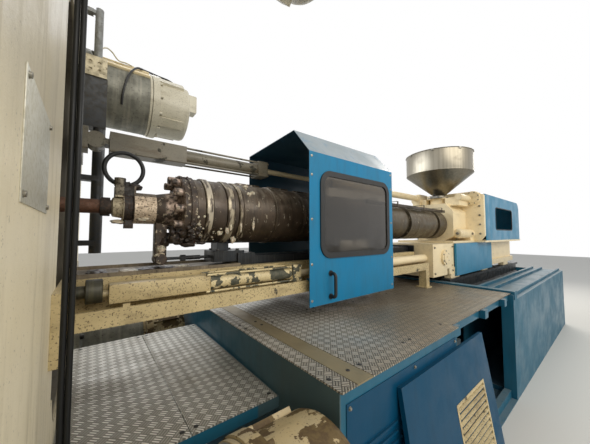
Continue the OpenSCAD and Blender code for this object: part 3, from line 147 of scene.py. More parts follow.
# Joins colour, roughness and relief to the shader: roughness is (mask, value at 0, value at 1),
# and relief is a list of (height, depth in mm)
def endFinish(name, tree, colour, roughness, heights=()):
    shader = tree.nodes["shader"]
    tree.links.new(colour, shader.inputs["Base Color"])
    mask, low, high = roughness
    rough = addNode(tree, "ShaderNodeMapRange", {"Value": mask, "To Min": low, "To Max": high})
    tree.links.new(rough.outputs[0], shader.inputs["Roughness"])
    normal = None
    for height, depthMm in heights:
        inputs = {"Height": height, "Distance": depthMm / 1000, "Strength": 1.0}
        if normal:
            inputs["Normal"] = normal
        normal = addNode(tree, "ShaderNodeBump", inputs).outputs[0]
        tree.links.new(normal, shader.inputs["Normal"])
    return bpy.data.materials[name]


# Gloss alkyd enamel sprayed on steel sheet: even colour with a faint orange peel, dulled by dust on top,
# brown runs below handles and seams, and chips down to the primer along edges
def sprayedEnamel(name, paint, dusty, runs, dust=0.45, chips=0.6, topDust="#7f8a8c", gloss=0.3,
                  innerShade=None, oilyFace=None):
    tree = startFinish(name, IOR=1.5, Roughness=0.38, **{"Specular IOR Level": gloss})
    cloud = patches(tree, 260, 0.35, 0.7)
    film = patches(tree, 60, 0.42, 0.75, stretch=(1, 1, 6), shift=3)
    top = (upward(tree, 0.35, 0.75), patches(tree, 90, 0.1, 0.5, shift=1))
    worn = (edges(tree, 3), patches(tree, 14, 0.47, 0.53, shift=7))
    layers = [(cloud, 0.22, dusty), (film, 0.22, runs), (top, dust, topDust), (worn, chips, "#4b4d4a")]
    if oilyFace:
        # one face stands under the nozzle and has been wiped with oil for years, most at the operator's end
        oily = (between(tree, "X", *oilyFace["x"], 0.005), between(tree, "Y", *oilyFace["y"], 0.45))
        layers.append((oily, 0.7, oilyFace["colour"]))
    if innerShade:
        # painted shade: the sheet's inner side, facing in towards the injection axis, is painted darker as if
        # out of the light
        normal = addNode(tree, "ShaderNodeNewGeometry").outputs["Normal"]
        spot = addNode(tree, "ShaderNodeVectorMath", {
            0: tree.nodes["place"].outputs["Object"], 1: (0, 0, axisZ)}, operation="SUBTRACT")
        away = addNode(tree, "ShaderNodeVectorMath", {0: normal, 1: spot}, operation="DOT_PRODUCT")
        inner = addNode(tree, "ShaderNodeMapRange", {
            "Value": away.outputs["Value"], "From Min": 0.05, "From Max": -0.05}).outputs[0]
        layers.append((inner, 0.85, innerShade))
    return endFinish(name, tree, layered(tree, paint, layers), (cloud, 0.30, 0.52), [
        (patches(tree, 4, 0.3, 0.7), 0.05)])


# Cream two-pack enamel on machined blocks and tubes: warm gloss coat, brown oil specks,
# and patches peeled off down to dark primer with a thick bright lip
def peelingEnamel(name, paint, grime, peeled, peelSize=120, peelAmount=0.60, specks=0.62, soot=0.35,
                  onlyBelow=None, lowPaint="#b39a66", primer="#6e6a58"):
    tree = startFinish(name, IOR=1.5, Roughness=0.42)
    cloud = patches(tree, 180, 0.3, 0.7)
    speck = patches(tree, 8, specks, specks + 0.05, detail=4, shift=5)
    smear = patches(tree, 70, 0.5, 0.72, stretch=(3, 1, 1), shift=9)
    bare = patches(tree, peelSize, peelAmount, peelAmount + 0.012, detail=9, shift=2)
    if onlyBelow:
        under = between(tree, "Z", -1.0, onlyBelow, 0.05)
        bare = addNode(tree, "ShaderNodeMath", {0: bare, 1: under}, operation="MULTIPLY").outputs[0]
        paint = layered(tree, paint, [(under, 0.85, lowPaint)])
    rubbed = (edges(tree, 4), patches(tree, 22, 0.46, 0.52, shift=4))
    tone = patches(tree, 30, 0.4, 0.6, shift=8)
    colour = layered(tree, paint, [
        (cloud, 0.35, grime), (smear, soot, "#6d5b40"), (speck, 0.8, "#4c3a26"), (rubbed, 0.8, "#54462f"),
        (bare, 1.0, peeled), ((bare, tone), 0.5, primer)])
    coat = addNode(tree, "ShaderNodeMath", {0: 1.0, 1: bare}, operation="SUBTRACT").outputs[0]
    return endFinish(name, tree, colour, (bare, 0.40, 0.68), [
        (coat, 0.5), (patches(tree, 5, 0.3, 0.7), 0.06)])


# Filled and enamelled grey iron: the filler hides the sand grain only partly, so the flat is slightly wavy,
# with oil fog settled into it
def castEnamel(name, paint, grime, nozzlePocketShade, greyedTopFace):
    tree = startFinish(name, IOR=1.5, Roughness=0.55)
    cloud = patches(tree, 420, 0.3, 0.72)
    fog = patches(tree, 55, 0.45, 0.8, stretch=(1, 1, 9), shift=2)
    fleck = patches(tree, 9, 0.66, 0.70, detail=2, shift=6)
    rubbed = (edges(tree, 8), patches(tree, 40, 0.42, 0.56, shift=4))
    foot = between(tree, "Z", -10, 0.8, 0.5)
    # the upper part of the face behind the nozzle is painted greyer
    greyedTop = (between(tree, "X", *greyedTopFace["x"], 0.004), between(tree, "Z", *greyedTopFace["z"], 0.09))
    # painted shade: the pocket behind the nozzle is painted nearly black, standing for the shade inside it
    pocketShade = (between(tree, "X", *nozzlePocketShade["x"], 0.006), between(tree, "Y", *nozzlePocketShade["y"], 0.01))
    colour = layered(tree, paint, [
        (cloud, 0.30, grime), (fog, 0.34, "#7b7058"), (fleck, 0.35, "#4f422f"), (rubbed, 0.75, "#4b4234"),
        (foot, 0.05, "#6f6650"), (greyedTop, 0.45, "#857e6d"), (pocketShade, 0.85, "#2d2a25")])
    return endFinish(name, tree, colour, (fog, 0.45, 0.7), [
        (patches(tree, 45, 0.3, 0.7), 0.5), (patches(tree, 3, 0.3, 0.7), 0.12)])


# Machined steel under years of hydraulic oil: a dark wet film with lighter rubbed bands
def oiledSteel(name, metal, oil, light, bandMm=40, metallic=0.75, rough=(0.28, 0.55)):
    tree = startFinish(name, Metallic=metallic, Roughness=0.4)
    film = patches(tree, 130, 0.35, 0.65)
    band = patches(tree, bandMm, 0.45, 0.7, stretch=(0.3, 6, 6), shift=4)
    crust = patches(tree, 16, 0.60, 0.66, shift=1)
    colour = layered(tree, metal, [(film, 0.7, oil), (band, 0.45, light), (crust, 0.6, "#2a2218")])
    return endFinish(name, tree, colour, (film, *rough), [
        (crust, 0.4), (patches(tree, 2.5, 0.3, 0.7, stretch=(0.3, 8, 8)), 0.04)])


# Mild steel heater jackets, rolled and burnt: brown-black scale in rings round the barrel, painted lighter
# on top as a painted highlight, rubbed bright on the rims; a pale ring is (start, end, amount, colour) of
# plastic run over it
def burntSheet(name, base="#473d33", sheenColour="#857b6a", paleRings=()):
    tree = startFinish(name, Metallic=0.4, Roughness=0.5)
    ring = patches(tree, 26, 0.35, 0.65, stretch=(0.5, 12, 12))
    scale = patches(tree, 90, 0.35, 0.68, shift=3)
    # painted highlight: faces that look up are painted lighter in patches
    sheen = (upward(tree, -0.1, 1.0), patches(tree, 30, 0.38, 0.64, stretch=(1, 4, 4), shift=8))
    drip = patches(tree, 26, 0.63, 0.66, stretch=(1, 1, 2.2), detail=7, shift=11)
    layers = [(ring, 0.6, "#2d2620"), (scale, 0.5, "#5a4a3a"), (sheen, 0.6, sheenColour),
              (edges(tree, 4), 0.5, "#8f8570"), (drip, 0.6, "#b3a893")]
    for number, (start, end, amount, colour) in enumerate(paleRings):
        run = patches(tree, 34, amount, amount + 0.10, stretch=(1, 4, 4), shift=5 + number)
        layers.append(((between(tree, "X", start, end, 0.004), run), 0.88, colour))
    colour = layered(tree, base, layers)
    return endFinish(name, tree, colour, (scale, 0.28, 0.56), [(drip, 0.8), (ring, 0.15)])


# Rolled aluminium tread plate: groups of bars on a weave at 45 degrees to the edges, bars along the light
# worn and painted bright, those across it painted dull, brown grease trodden in between; the plate over the
# base is dirtier, save a painted sheen near the mould end, and one strip of it is plain sheet
def treadPlate(name, plateLook):
    tree = startFinish(name, Metallic=0.5, Roughness=0.4)
    split = addNode(tree, "ShaderNodeSeparateXYZ", {0: tree.nodes["place"].outputs["Object"]})
    cells = 1 / (plateLook["cellMm"] / 1000 * math.sqrt(2))
    value = {"x": split.outputs["X"], "y": split.outputs["Y"],
             "plain": between(tree, "X", *plateLook["plainX"], 0.001),
             "deck": between(tree, "Z", *plateLook["deckZ"], 0.01),
             "sheenX": between(tree, "X", *plateLook["sheenX"], 0.15),
             "sheenY": between(tree, "Y", *plateLook["sheenY"], 0.35)}
    # each step is named and made from earlier ones: the cell, the bars in it, their ends, then the painted
    # sheen and the dirt around it
    steps = [
        ("sum", "Math", {0: "x", 1: "y"}, {"operation": "ADD"}),
        ("along", "Math", {0: "sum", 1: cells}, {"operation": "MULTIPLY"}),
        ("difference", "Math", {0: "x", 1: "y"}, {"operation": "SUBTRACT"}),
        ("across", "Math", {0: "difference", 1: cells}, {"operation": "MULTIPLY"}),
        ("alongPart", "Math", {0: "along"}, {"operation": "FRACT"}),
        ("acrossPart", "Math", {0: "across"}, {"operation": "FRACT"}),
        ("alongCell", "Math", {0: "along"}, {"operation": "FLOOR"}),
        ("acrossCell", "Math", {0: "across"}, {"operation": "FLOOR"}),
        ("cell", "Math", {0: "alongCell", 1: "acrossCell"}, {"operation": "ADD"}),
        ("odd", "Math", {0: "cell", 1: 2.0}, {"operation": "FLOORED_MODULO"}),
        ("barWay", "Mix", {0: "odd", 2: "alongPart", 3: "acrossPart"}, {}),
        ("barEnd", "Mix", {0: "odd", 2: "acrossPart", 3: "alongPart"}, {}),
        ("turns", "Math", {0: "barWay", 1: 2 * math.pi * plateLook["bars"]}, {"operation": "MULTIPLY"}),
        ("ripple", "Math", {0: "turns"}, {"operation": "COSINE"}),
        ("bar", "MapRange", {0: "ripple", 1: 0.5, 2: -0.5}, {"interpolation_type": "SMOOTHSTEP"}),
        ("offMiddle", "Math", {0: "barEnd", 1: 0.5}, {"operation": "SUBTRACT"}),
        ("fromMiddle", "Math", {0: "offMiddle"}, {"operation": "ABSOLUTE"}),
        ("ends", "MapRange", {0: "fromMiddle", 1: 0.47, 2: 0.40}, {"interpolation_type": "SMOOTHSTEP"}),
        ("bars", "Math", {0: "bar", 1: "ends"}, {"operation": "MULTIPLY"}),
        ("woven", "Math", {0: 1.0, 1: "plain"}, {"operation": "SUBTRACT"}),
        ("height", "Math", {0: "bars", 1: "woven"}, {"operation": "MULTIPLY"}),
        # painted sheen: a box near the mould end of the deck is kept clean and bright
        ("sheen", "Math", {0: "sheenX", 1: "sheenY"}, {"operation": "MULTIPLY"}),
        ("outsideSheen", "Math", {0: 1.0, 1: "sheen"}, {"operation": "SUBTRACT"}),
        ("dirtyDeck", "Math", {0: "deck", 1: "outsideSheen"}, {"operation": "MULTIPLY"})]
    for made, kind, sources, settings in steps:
        inputs = {socket: value.get(source, source) for socket, source in sources.items()}
        value[made] = addNode(tree, "ShaderNode" + kind, inputs, **settings).outputs[0]
    trodden = patches(tree, 330, 0.38, 0.66, detail=7)
    sole = patches(tree, 160, 0.45, 0.7, detail=8, shift=4)
    base = layered(tree, plateLook["bright"], [
        (value["dirtyDeck"], 0.85, plateLook["dirty"]), (trodden, 0.4, plateLook["grease"]),
        (sole, 0.2, "#8f8775"), (value["plain"], 0.85, plateLook["plainSheet"])])
    # painted highlight and shade: bars that lie along the light are painted bright, those across it painted
    # dull
    top = layered(tree, plateLook["barTopWornAndLit"], [
        (value["dirtyDeck"], 0.75, plateLook["barDirty"]), (trodden, 0.25, "#8d806b"),
        (value["odd"], 0.72, plateLook["barPaintedShade"])])
    colour = layered(tree, base, [(value["height"], 1.0, top)])
    return endFinish(name, tree, colour, (trodden, 0.38, 0.62), [(value["height"], 1.8), (sole, 0.15)])


# Ground or hard-chromed bar: mirror-like along its length, dulled by an oil film in bands
def groundBar(name, metal, film, rough=0.18, grooveDirt=0.0):
    tree = startFinish(name, Metallic=1.0, Roughness=rough)
    mist = patches(tree, 170, 0.4, 0.7, stretch=(2, 1, 1))
    lines = patches(tree, 3, 0.35, 0.7, stretch=(0.4, 10, 10), shift=2)
    layers = [(mist, 0.45, film), (lines, 0.12, "#5e5c58")]
    if grooveDirt:
        layers.append((edges(tree, 6), grooveDirt, "#3b332a"))
    return endFinish(name, tree, layered(tree, metal, layers), (mist, rough, rough + 0.25), [(lines, 0.02)])


# Stainless sheet, rolled into a cone and polished up its sides: streaks, clean, a few scuffs
def brushedStainless(name):
    tree = startFinish(name, Metallic=1.0, Roughness=0.3, Anisotropic=0.5)
    # the polishing streaks that run up the sheet are drawn 30 mm wide, so that they show
    lines = patches(tree, 30, 0.3, 0.7, stretch=(1, 1, 30))
    scuff = patches(tree, 140, 0.5, 0.75, shift=3)
    colour = layered(tree, "#8f897b", [(lines, 0.4, "#625d50"), (scuff, 0.25, "#7a7262")])
    return endFinish(name, tree, colour, (scuff, 0.34, 0.48), [(lines, 0.03)])


# Moulded nitrile and hydraulic hose cover: matt black with a grey bloom
def mouldedRubber(name, base="#191a1b", bloom="#3c3b38"):
    tree = startFinish(name, IOR=1.52, Roughness=0.6)
    haze = patches(tree, 45, 0.42, 0.75)
    return endFinish(name, tree, layered(tree, base, [(haze, 0.45, bloom)]), (haze, 0.5, 0.78), [
        (patches(tree, 2.5, 0.3, 0.7), 0.08)])


# Extruded polycarbonate pane, smoked by oil mist: see-through, slightly violet grey, smeared in arcs
def smokyPane(name, tint, haze):
    tree = startFinish(name, IOR=1.58, Roughness=0.08, **{
        "Transmission Weight": 0.86, "Specular IOR Level": 0.35})
    smear = patches(tree, 120, 0.35, 0.7, stretch=(1, 1, 2), detail=6)
    return endFinish(name, tree, layered(tree, tint, [(smear, 0.35, haze)]), (smear, 0.05, 0.22))


# Zinc-plated or blackened steel screws and fittings, turned and cold headed: dull film, bright rims
def plainFitting(name, metal, dirt, metallic=0.9, rough=0.38):
    tree = startFinish(name, Metallic=metallic, Roughness=rough)
    stain = patches(tree, 12, 0.42, 0.66)
    colour = layered(tree, metal, [(stain, 0.6, dirt), (edges(tree, 1), 0.3, "#9b968a")])
    return endFinish(name, tree, colour, (stain, rough, rough + 0.25), [
        (patches(tree, 1.6, 0.3, 0.7), 0.03)])


# Purged plastic that has run out, cooled and gathered dust: waxy, blunt, slightly see-through
def runPlastic(name, base, stain):
    tree = startFinish(name, IOR=1.49, Roughness=0.45, **{"Subsurface Weight": 0.1})
    burnt = patches(tree, 20, 0.42, 0.62)
    return endFinish(name, tree, layered(tree, base, [(burnt, 0.75, stain)]), (burnt, 0.35, 0.65), [
        (patches(tree, 9, 0.3, 0.7), 0.8)])


# Nozzle, adaptor block and shut-off valve in one: rusty pipe, pale nut, black valve, then a block
# covered in baked cream plastic
def nozzleSteel(name, zones):
    tree = startFinish(name, Metallic=0.3, Roughness=0.55)
    rust = patches(tree, 30, 0.38, 0.62, detail=8)
    fleck = patches(tree, 10, 0.54, 0.58, detail=4, shift=5)
    pipe, nut, block = [(between(tree, "X", *zones[zone]), *look) for zone, look in (
        ("pipeX", (1.0, "#6b4a38")), ("nutX", (0.9, "#cfc2a4")), ("blockX", (0.95, "#dcc8ae")))]
    valve = (between(tree, "Z", *zones["valveZ"]), 0.7, "#2a2826")
    colour = layered(tree, "#2b2622", [
        pipe, nut, block, (rust, 0.22, "#4a3224"), (fleck, 0.75, "#4c3a2c"), valve])
    return endFinish(name, tree, colour, (rust, 0.42, 0.72), [(rust, 0.7), (fleck, 0.3)])


# End cap: black scale with pinkish plastic baked onto the bolt heads
def endCapSteel(name, baked):
    tree = startFinish(name, Metallic=0.35, Roughness=0.5)
    scale = patches(tree, 40, 0.36, 0.64, detail=7)
    pale = (between(tree, "X", *baked["x"], 0.01), between(tree, "Z", *baked["z"], 0.05),
            patches(tree, 30, 0.40, 0.60, shift=3))
    crumbs = patches(tree, 24, 0.58, 0.62, shift=9)
    colour = layered(tree, "#352d27", [
        (scale, 0.6, "#5c4d40"), (pale, 0.85, "#c2ab9b"), (crumbs, 0.7, "#b3a58e")])
    return endFinish(name, tree, colour, (scale, 0.4, 0.68), [(scale, 0.9)])


# Valve block and pipes: cream block on top, blackened block below, grey pipe above both
def manifoldMetal(name, zones):
    tree = startFinish(name, Metallic=0.2, Roughness=0.5)
    stain = patches(tree, 40, 0.4, 0.66)
    speck = patches(tree, 12, 0.60, 0.64, shift=4)
    colour = layered(tree, "#34373a", [
        (between(tree, "Z", *zones["creamZ"]), 1.0, "#c7bc9f"),
        (between(tree, "Z", *zones["pipeZ"]), 1.0, "#7f817f"), (stain, 0.35, "#4d4638"),
        (speck, 0.7, "#473a28")])
    return endFinish(name, tree, colour, (stain, 0.4, 0.65), [(stain, 0.3)])


finishes = {
    # the guard's inner faces are painted darker, a painted shade
    "guardBlue": sprayedEnamel("guardBlueEnamel", "#0b79a6", "#3c7287", "#33494f", dust=0.9, chips=0.5,
                               topDust="#a2a5a3", innerShade="#2b3a45"),
    "baseBlue": sprayedEnamel("baseBlueEnamel", "#1f5d76", "#3a6170", "#242f30", dust=0.5, chips=0.75,
                              gloss=0.22, oilyFace={
                                  "x": (1.50, 1.6365), "y": (-2.4, -0.40), "colour": "#52584e"}),
    # painted shade: the cover's paint, its dusty and run colours and its top dust are all darkened to stand
    # for the shade it lies in
    "shadedCoverBlue": sprayedEnamel("shadedCoverBlueEnamel", "#04415f", "#114660", "#0f2b38", dust=0.15, chips=0.6,
                               topDust="#35535f", gloss=0.14),
    "driveBlue": sprayedEnamel("driveBlueEnamel", "#267da2", "#6e97ad", "#3a5a68", dust=0.8, chips=0.45,
                               topDust="#a3b0b6"),
    "fenceBlue": sprayedEnamel("fenceBlueEnamel", "#1b7098", "#4a7887", "#31505c", dust=0.45, chips=0.5),
    "motorEnamel": sprayedEnamel("motorEnamel", "#4b5a62", "#6a7377", "#2c3133", dust=0.5, chips=0.5),
    "blackEnamel": sprayedEnamel("blackPipeEnamel", "#141515", "#2a2a28", "#1d1a16", dust=0.3, chips=0.3,
                                 topDust="#4a4946", gloss=0.25),
    "redEnamel": sprayedEnamel("redEnamel", "#8d2f22", "#8c5a4c", "#4a2a22", dust=0.5, chips=0.5),
    "creamClean": peelingEnamel("creamEnamel", "#f0deb6", "#dcc79c", "#5b5548", peelAmount=0.70, specks=0.66,
                                soot=0.14),
    "creamWorn": peelingEnamel("wornCreamEnamel", "#ccb98b", "#98845a", "#453d2d", peelAmount=0.65,
                               specks=0.575, soot=0.45),
    "creamPeeled": peelingEnamel("peeledCreamEnamel", "#dccb9e", "#b5a276", "#45463a", peelSize=110,
                                 peelAmount=0.535, specks=0.60, soot=0.35),
    "capPaint": peelingEnamel("cylinderCapEnamel", "#d2ccb8", "#aba38b", "#4e3b1d", peelAmount=0.50,
                              specks=0.61, soot=0.25, onlyBelow=1.6, primer="#715e35"),
    "grimyCream": peelingEnamel("grimyCreamEnamel", "#8d8674", "#55524a", "#3a372e", peelAmount=0.60,
                                specks=0.6, soot=0.6),
    # the pocket behind the nozzle gets a painted shade, nearly black
    # the upper part of the platen's face behind the nozzle is painted greyer
    "platenPaint": castEnamel("castEnamel", "#f4e7c8", "#cfc09a", {"x": (0.1, 0.692), "y": (-0.5, 0.58)},
                              {"x": (0.60, 0.71), "z": (2.0, 6.0)}),
    "cylinderPaint": oiledSteel("oiledCylinderEnamel", "#858478", "#55544c", "#a39f8f", bandMm=90,
                                metallic=0.2, rough=(0.42, 0.62)),
    "drumPaint": oiledSteel("greasyDrumSteel", "#3c3a2c", "#26241b", "#5c573f", metallic=0.2,
                            rough=(0.45, 0.65)),
    "traySheet": oiledSteel("oiledTraySheet", "#7d705b", "#51483b", "#968973", bandMm=60, metallic=0.15,
                            rough=(0.5, 0.7)),
    "groundWays": oiledSteel("groundWaySteel", "#8b8b88", "#4b4740", "#a3a19b", bandMm=12),
    "darkSteel": oiledSteel("blackenedSteel", "#2c3033", "#1a1a19", "#4d4c49", bandMm=30, metallic=0.5),
    "barrelSteel": oiledSteel("nitridedBarrelSteel", "#4a4238", "#2c2620", "#6c6355", bandMm=16,
                              metallic=0.6),
    "bronze": oiledSteel("castBronze", "#8d7a4d", "#54482c", "#a89864", bandMm=20),
    "tieBars": groundBar("chromedTieBar", "#b4b5b3", "#6d6656", rough=0.2, grooveDirt=0.7),
    "pistonRods": groundBar("chromedRod", "#c4c6c7", "#8b857a", rough=0.12),
    "screwSteel": groundBar("polishedScrewSteel", "#a5a6a5", "#6f6a60", rough=0.2),
    "frontBands": burntSheet("crustedHeaterSheet", base="#3f352c", paleRings=[
        (1.389, 1.4345, 0.42, "#c0b5a0"), (1.536, 1.592, 0.46, "#b0a48c"), (1.626, 1.66, 0.48, "#a0947c"),
        (1.436, 1.534, 0.60, "#8a7050")]),
    "bands": burntSheet("burntHeaterSheet", base="#453a2e", paleRings=[(1.66, 1.80, 0.60, "#bdb099")]),
    # the rear bands are painted lighter on top, a painted highlight
    "rearBands": burntSheet("greasyHeaterSheet", base="#5a5240", sheenColour="#7d735c"),
    "endCap": endCapSteel("scaledEndCapSteel", {"x": (1.175, 1.249), "z": (1.84, 2.3)}),
    "nozzle": nozzleSteel("bakedNozzleSteel", {
        "pipeX": (0.0, 0.832), "nutX": (0.888, 0.948), "blockX": (1.0005, 1.13), "valveZ": (2.02, 2.5)}),
    "manifold": manifoldMetal("manifoldMetal", {"creamZ": (3.0195, 3.1795), "pipeZ": (3.18, 3.7)}),
    "tread": treadPlate("fiveBarAluminium", {
        # the box near the deck's mould end is left bright as a painted sheen
        "cellMm": 38, "bars": 3, "plainX": (1.7305, 1.8485), "deckZ": (1.0, 3.0), "sheenX": (1.5, 2.35),
        "sheenY": (-0.9, 1.3), "bright": "#928e83", "dirty": "#3a3022", "grease": "#4d4536",
        # bar tops are worn and painted with a highlight; the bars across the light get a painted shade
        "plainSheet": "#948768", "barTopWornAndLit": "#f6f3ea", "barDirty": "#97815c", "barPaintedShade": "#8a8578"}),
    "stainless": brushedStainless("brushedStainless"),
    "rubber": mouldedRubber("nitrileRubber"),
    "creamCable": mouldedRubber("creamCableJacket", "#cfc5a8", "#9b9178"),
    "pane": smokyPane("smokyPolycarbonate", "#5f574a", "#453e33"),
    "clearPane": smokyPane("clearPolycarbonate", "#c3d0d4", "#a7b1b3"),
    "zincScrew": plainFitting("zincPlatedScrew", "#9d9a90", "#5a4f3c"),
    "blackScrew": plainFitting("blackenedScrew", "#3b3a38", "#221e19", metallic=0.6),
    "signAluminium": plainFitting("anodisedSignPlate", "#cdcabc", "#b3ad97", metallic=0.35, rough=0.4),
    "palePlastic": runPlastic("purgedPlastic", "#cfc3ad", "#7a6a54"),
    "burntPlastic": runPlastic("charredPlastic", "#3a3029", "#211b17"),
}
print("finishes made:", len(finishes))

# Which pieces of the frame have which finish
finishPieces = {
    "baseBlue": ["clamp_bed", "tie_bar_frame", "injection_base"],
    "shadedCoverBlue": ["louvre_panel", "removed_cover"],
    "fenceBlue": ["fixed_guards", "operator_door", "rear_door"],
    "driveBlue": ["carriage_covers", "drive_enclosure"],
    "guardBlue": ["purge_guard"],
    "motorEnamel": ["power_unit", "drive_motor"],
    "platenPaint": ["fixed_platen", "moving_platen"],
    "tieBars": ["tie_bar_upper_front", "tie_bar_upper_rear", "tie_bar_lower_front", "tie_bar_lower_rear"],
    "cylinderPaint": ["clamp_cylinder_upper_front", "clamp_cylinder_upper_rear", "clamp_cylinder_lower_front",
                      "clamp_cylinder_lower_rear"],
    "capPaint": ["cylinder_caps"],
    "creamClean": ["pull_rods", "carriage_frame", "feed_housing"],
    "creamWorn": ["cover_grille", "guard_track_front", "guard_track_rear"],
    "creamPeeled": ["pull_cylinder_front"],
    "grimyCream": ["pull_cylinder_rear"],
    "groundWays": ["bed_ways", "ejector_plate", "hopper_gate"],
    "darkSteel": ["slide_rails", "nut_housings", "stroke_cylinders", "ejector_cylinder", "barrel_support",
                  "crosshead"],
    "traySheet": ["drip_tray"],
    "manifold": ["platen_manifold"],
    "bronze": ["front_half_nuts", "rear_half_nuts"],
    "pistonRods": ["stroke_rods"],
    "barrelSteel": ["barrel"],
    "screwSteel": ["screw"],
    "endCap": ["end_cap"],
    "nozzle": ["nozzle"],
    "frontBands": ["heater_bands_front"],
    "bands": ["heater_bands_middle"],
    "rearBands": ["heater_bands_rear"],
    "tread": ["tread_plates"],
    "stainless": ["hopper"],
    "pane": ["guard_window"],
    "clearPane": ["operator_door_pane"],
    "rubber": ["nozzle_hose", "guard_seal", "guard_handle"]}
for finishName, pieceNames in finishPieces.items():
    for pieceName in pieceNames:
        target = nodes[pieceName]
        if not target.material_slots:
            target.data.materials.append(finishes[finishName])
        for slot in target.material_slots:
            slot.material = finishes[finishName]


# Turns a mesh into a piece that rides on a body
def addPiece(name, mesh, body, finish, sharp=35):
    data = bpy.data.meshes.new(name)
    bmesh.ops.recalc_face_normals(mesh, faces=mesh.faces)
    mesh.to_mesh(data)
    mesh.free()
    data.shade_smooth()
    data.set_sharp_from_angle(angle=math.radians(sharp))
    piece = bpy.data.objects.new(name, data)
    bpy.context.collection.objects.link(piece)
    data.materials.append(finishes[finish])
    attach(piece, body)
    return piece


# A block with rounded edges between two opposite corners, in any order
def addBlock(mesh, cornerA, cornerB, edge=0.002, turn=None):
    low = Vector([min(pair) for pair in zip(cornerA, cornerB)])
    high = Vector([max(pair) for pair in zip(cornerA, cornerB)])
    size, middle = high - low, (high + low) / 2
    made = bmesh.ops.create_cube(mesh, size=1.0)["verts"]
    for v in made:
        v.co = Vector([v.co[k] * size[k] for k in range(3)])
    lines = list({e for v in made for e in v.link_edges})
    rounded = bmesh.ops.bevel(mesh, geom=lines, offset=min(edge, min(size) * 0.3), segments=2, affect="EDGES",
                              profile=0.5)["faces"]
    for v in {v for f in rounded for v in f.verts} | {v for v in made if v.is_valid}:
        v.co = (turn @ v.co if turn else v.co) + middle


# A turned body from a profile of (distance along, radius), with 6 as a third value where it is a hexagon;
# its ends are closed, unless it is hollow
def addTurned(mesh, start, direction, profile, sides=32, hollow=False):
    if not hollow:
        profile = [(profile[0][0], 0)] + profile
        if profile[-1][1]:
            profile = profile + [(profile[-1][0], 0)]
    way = Vector(direction).normalized()
    sideA = way.orthogonal().normalized()
    sideB = way.cross(sideA)
    before = None
    for distance, radius, *hexagon in profile:
        centre = Vector(start) + way * distance
        ring = []
        for k in range(sides if radius > 1e-6 else 1):
            a = 2 * math.pi * k / sides
            reach = radius
            if hexagon:
                half = math.pi / hexagon[0]
                reach = radius * math.cos(half) / math.cos(a % (2 * half) - half)
            ring.append(mesh.verts.new(centre + reach * (math.cos(a) * sideA + math.sin(a) * sideB)))
        longest = max(len(ring), len(before or ()))
        for k in range(longest if before else 0):
            after = (k + 1) % longest
            if len(ring) == 1:
                mesh.faces.new([before[k], before[after], ring[0]])
            elif len(before) == 1:
                mesh.faces.new([before[0], ring[after], ring[k]])
            else:
                mesh.faces.new([before[k], before[after], ring[after], ring[k]])
        before = ring


# A socket head screw with its washer, standing on a face; d is the head's diameter
def addSocketScrew(mesh, place, direction, d, height=None):
    h = height or d * 0.62
    addTurned(mesh, place, direction, [
        (-0.001, d * 0.62), (d * 0.06, d * 0.62), (d * 0.06, d / 2), (h - d * 0.06, d / 2),
        (h, d * 0.45), (h, d * 0.29, 6), (h - d * 0.34, d * 0.29, 6)], 24)


# A hexagon head screw on a round washer
def addHexScrew(mesh, place, direction, d):
    addTurned(mesh, place, direction, [
        (-0.001, d * 0.72), (d * 0.1, d * 0.72), (d * 0.1, d * 0.56, 6), (d * 0.55, d * 0.56, 6),
        (d * 0.62, d * 0.46)], 24)


# Socket head screws on a circle that the direction is square to
def addScrewCircle(mesh, centre, direction, radius, count, d, height=None, first=0.5):
    sideA = Vector((0, 1, 0) if direction[0] else (1, 0, 0))
    sideB = Vector((0, 1, 0) if direction[2] else (0, 0, 1))
    for k in range(count):
        a = 2 * math.pi * (k + first) / count
        out = radius * (math.cos(a) * sideA + math.sin(a) * sideB)
        addSocketScrew(mesh, Vector(centre) + out, direction, d, height)


# A smooth line through points
def smoothLine(points, steps=8):
    points = [Vector(p) for p in points]
    line = []
    for k in range(len(points) - 1):
        a = points[max(k - 1, 0)]
        b, c = points[k], points[k + 1]
        d = points[min(k + 2, len(points) - 1)]
        for j in range(steps):
            t = j / steps
            line.append(0.5 * (2 * b + (c - a) * t + (2 * a - 5 * b + 4 * c - d) * t * t
                               + (3 * b - a - 3 * c + d) * t ** 3))
    return line + [points[-1]]


# A tube along a line of points, with closed ends or joined into a ring
def addTube(mesh, line, radius, sides=14, ring=False):
    line = [Vector(p) for p in line]
    count = len(line)
    rings = []
    side = None
    for k, p in enumerate(line):
        if ring:
            way = (line[(k + 1) % count] - line[k - 1]).normalized()
        else:
            way = (line[min(k + 1, count - 1)] - line[max(k - 1, 0)]).normalized()
        side = way.orthogonal() if side is None else side - way * side.dot(way)
        side.normalize()
        other = way.cross(side)
        rings.append([mesh.verts.new(p + radius * (math.cos(a) * side + math.sin(a) * other))
                      for a in (2 * math.pi * j / sides for j in range(sides))])
    for k in range(count if ring else count - 1):
        one, two = rings[k], rings[(k + 1) % count]
        shift = 0
        if ring and k == count - 1:
            shift = min(range(sides), key=lambda s: (one[0].co - two[s].co).length)
        for j in range(sides):
            after = (j + 1) % sides
            mesh.faces.new([one[j], one[after], two[(after + shift) % sides], two[(j + shift) % sides]])
    if not ring:
        mesh.faces.new(rings[0])
        mesh.faces.new(rings[-1])


# A lump of hardened plastic
def addLump(mesh, centre, size, seed, roughness=0.35):
    for v in bmesh.ops.create_icosphere(mesh, subdivisions=3, radius=1.0)["verts"]:
        swell = 1 + roughness * noise.noise(v.co * 1.7 + Vector((seed * 3.1, seed, 0)))
        v.co = Vector([v.co[k] * size[k] * swell for k in range(3)]) + Vector(centre)


print("tools ready")

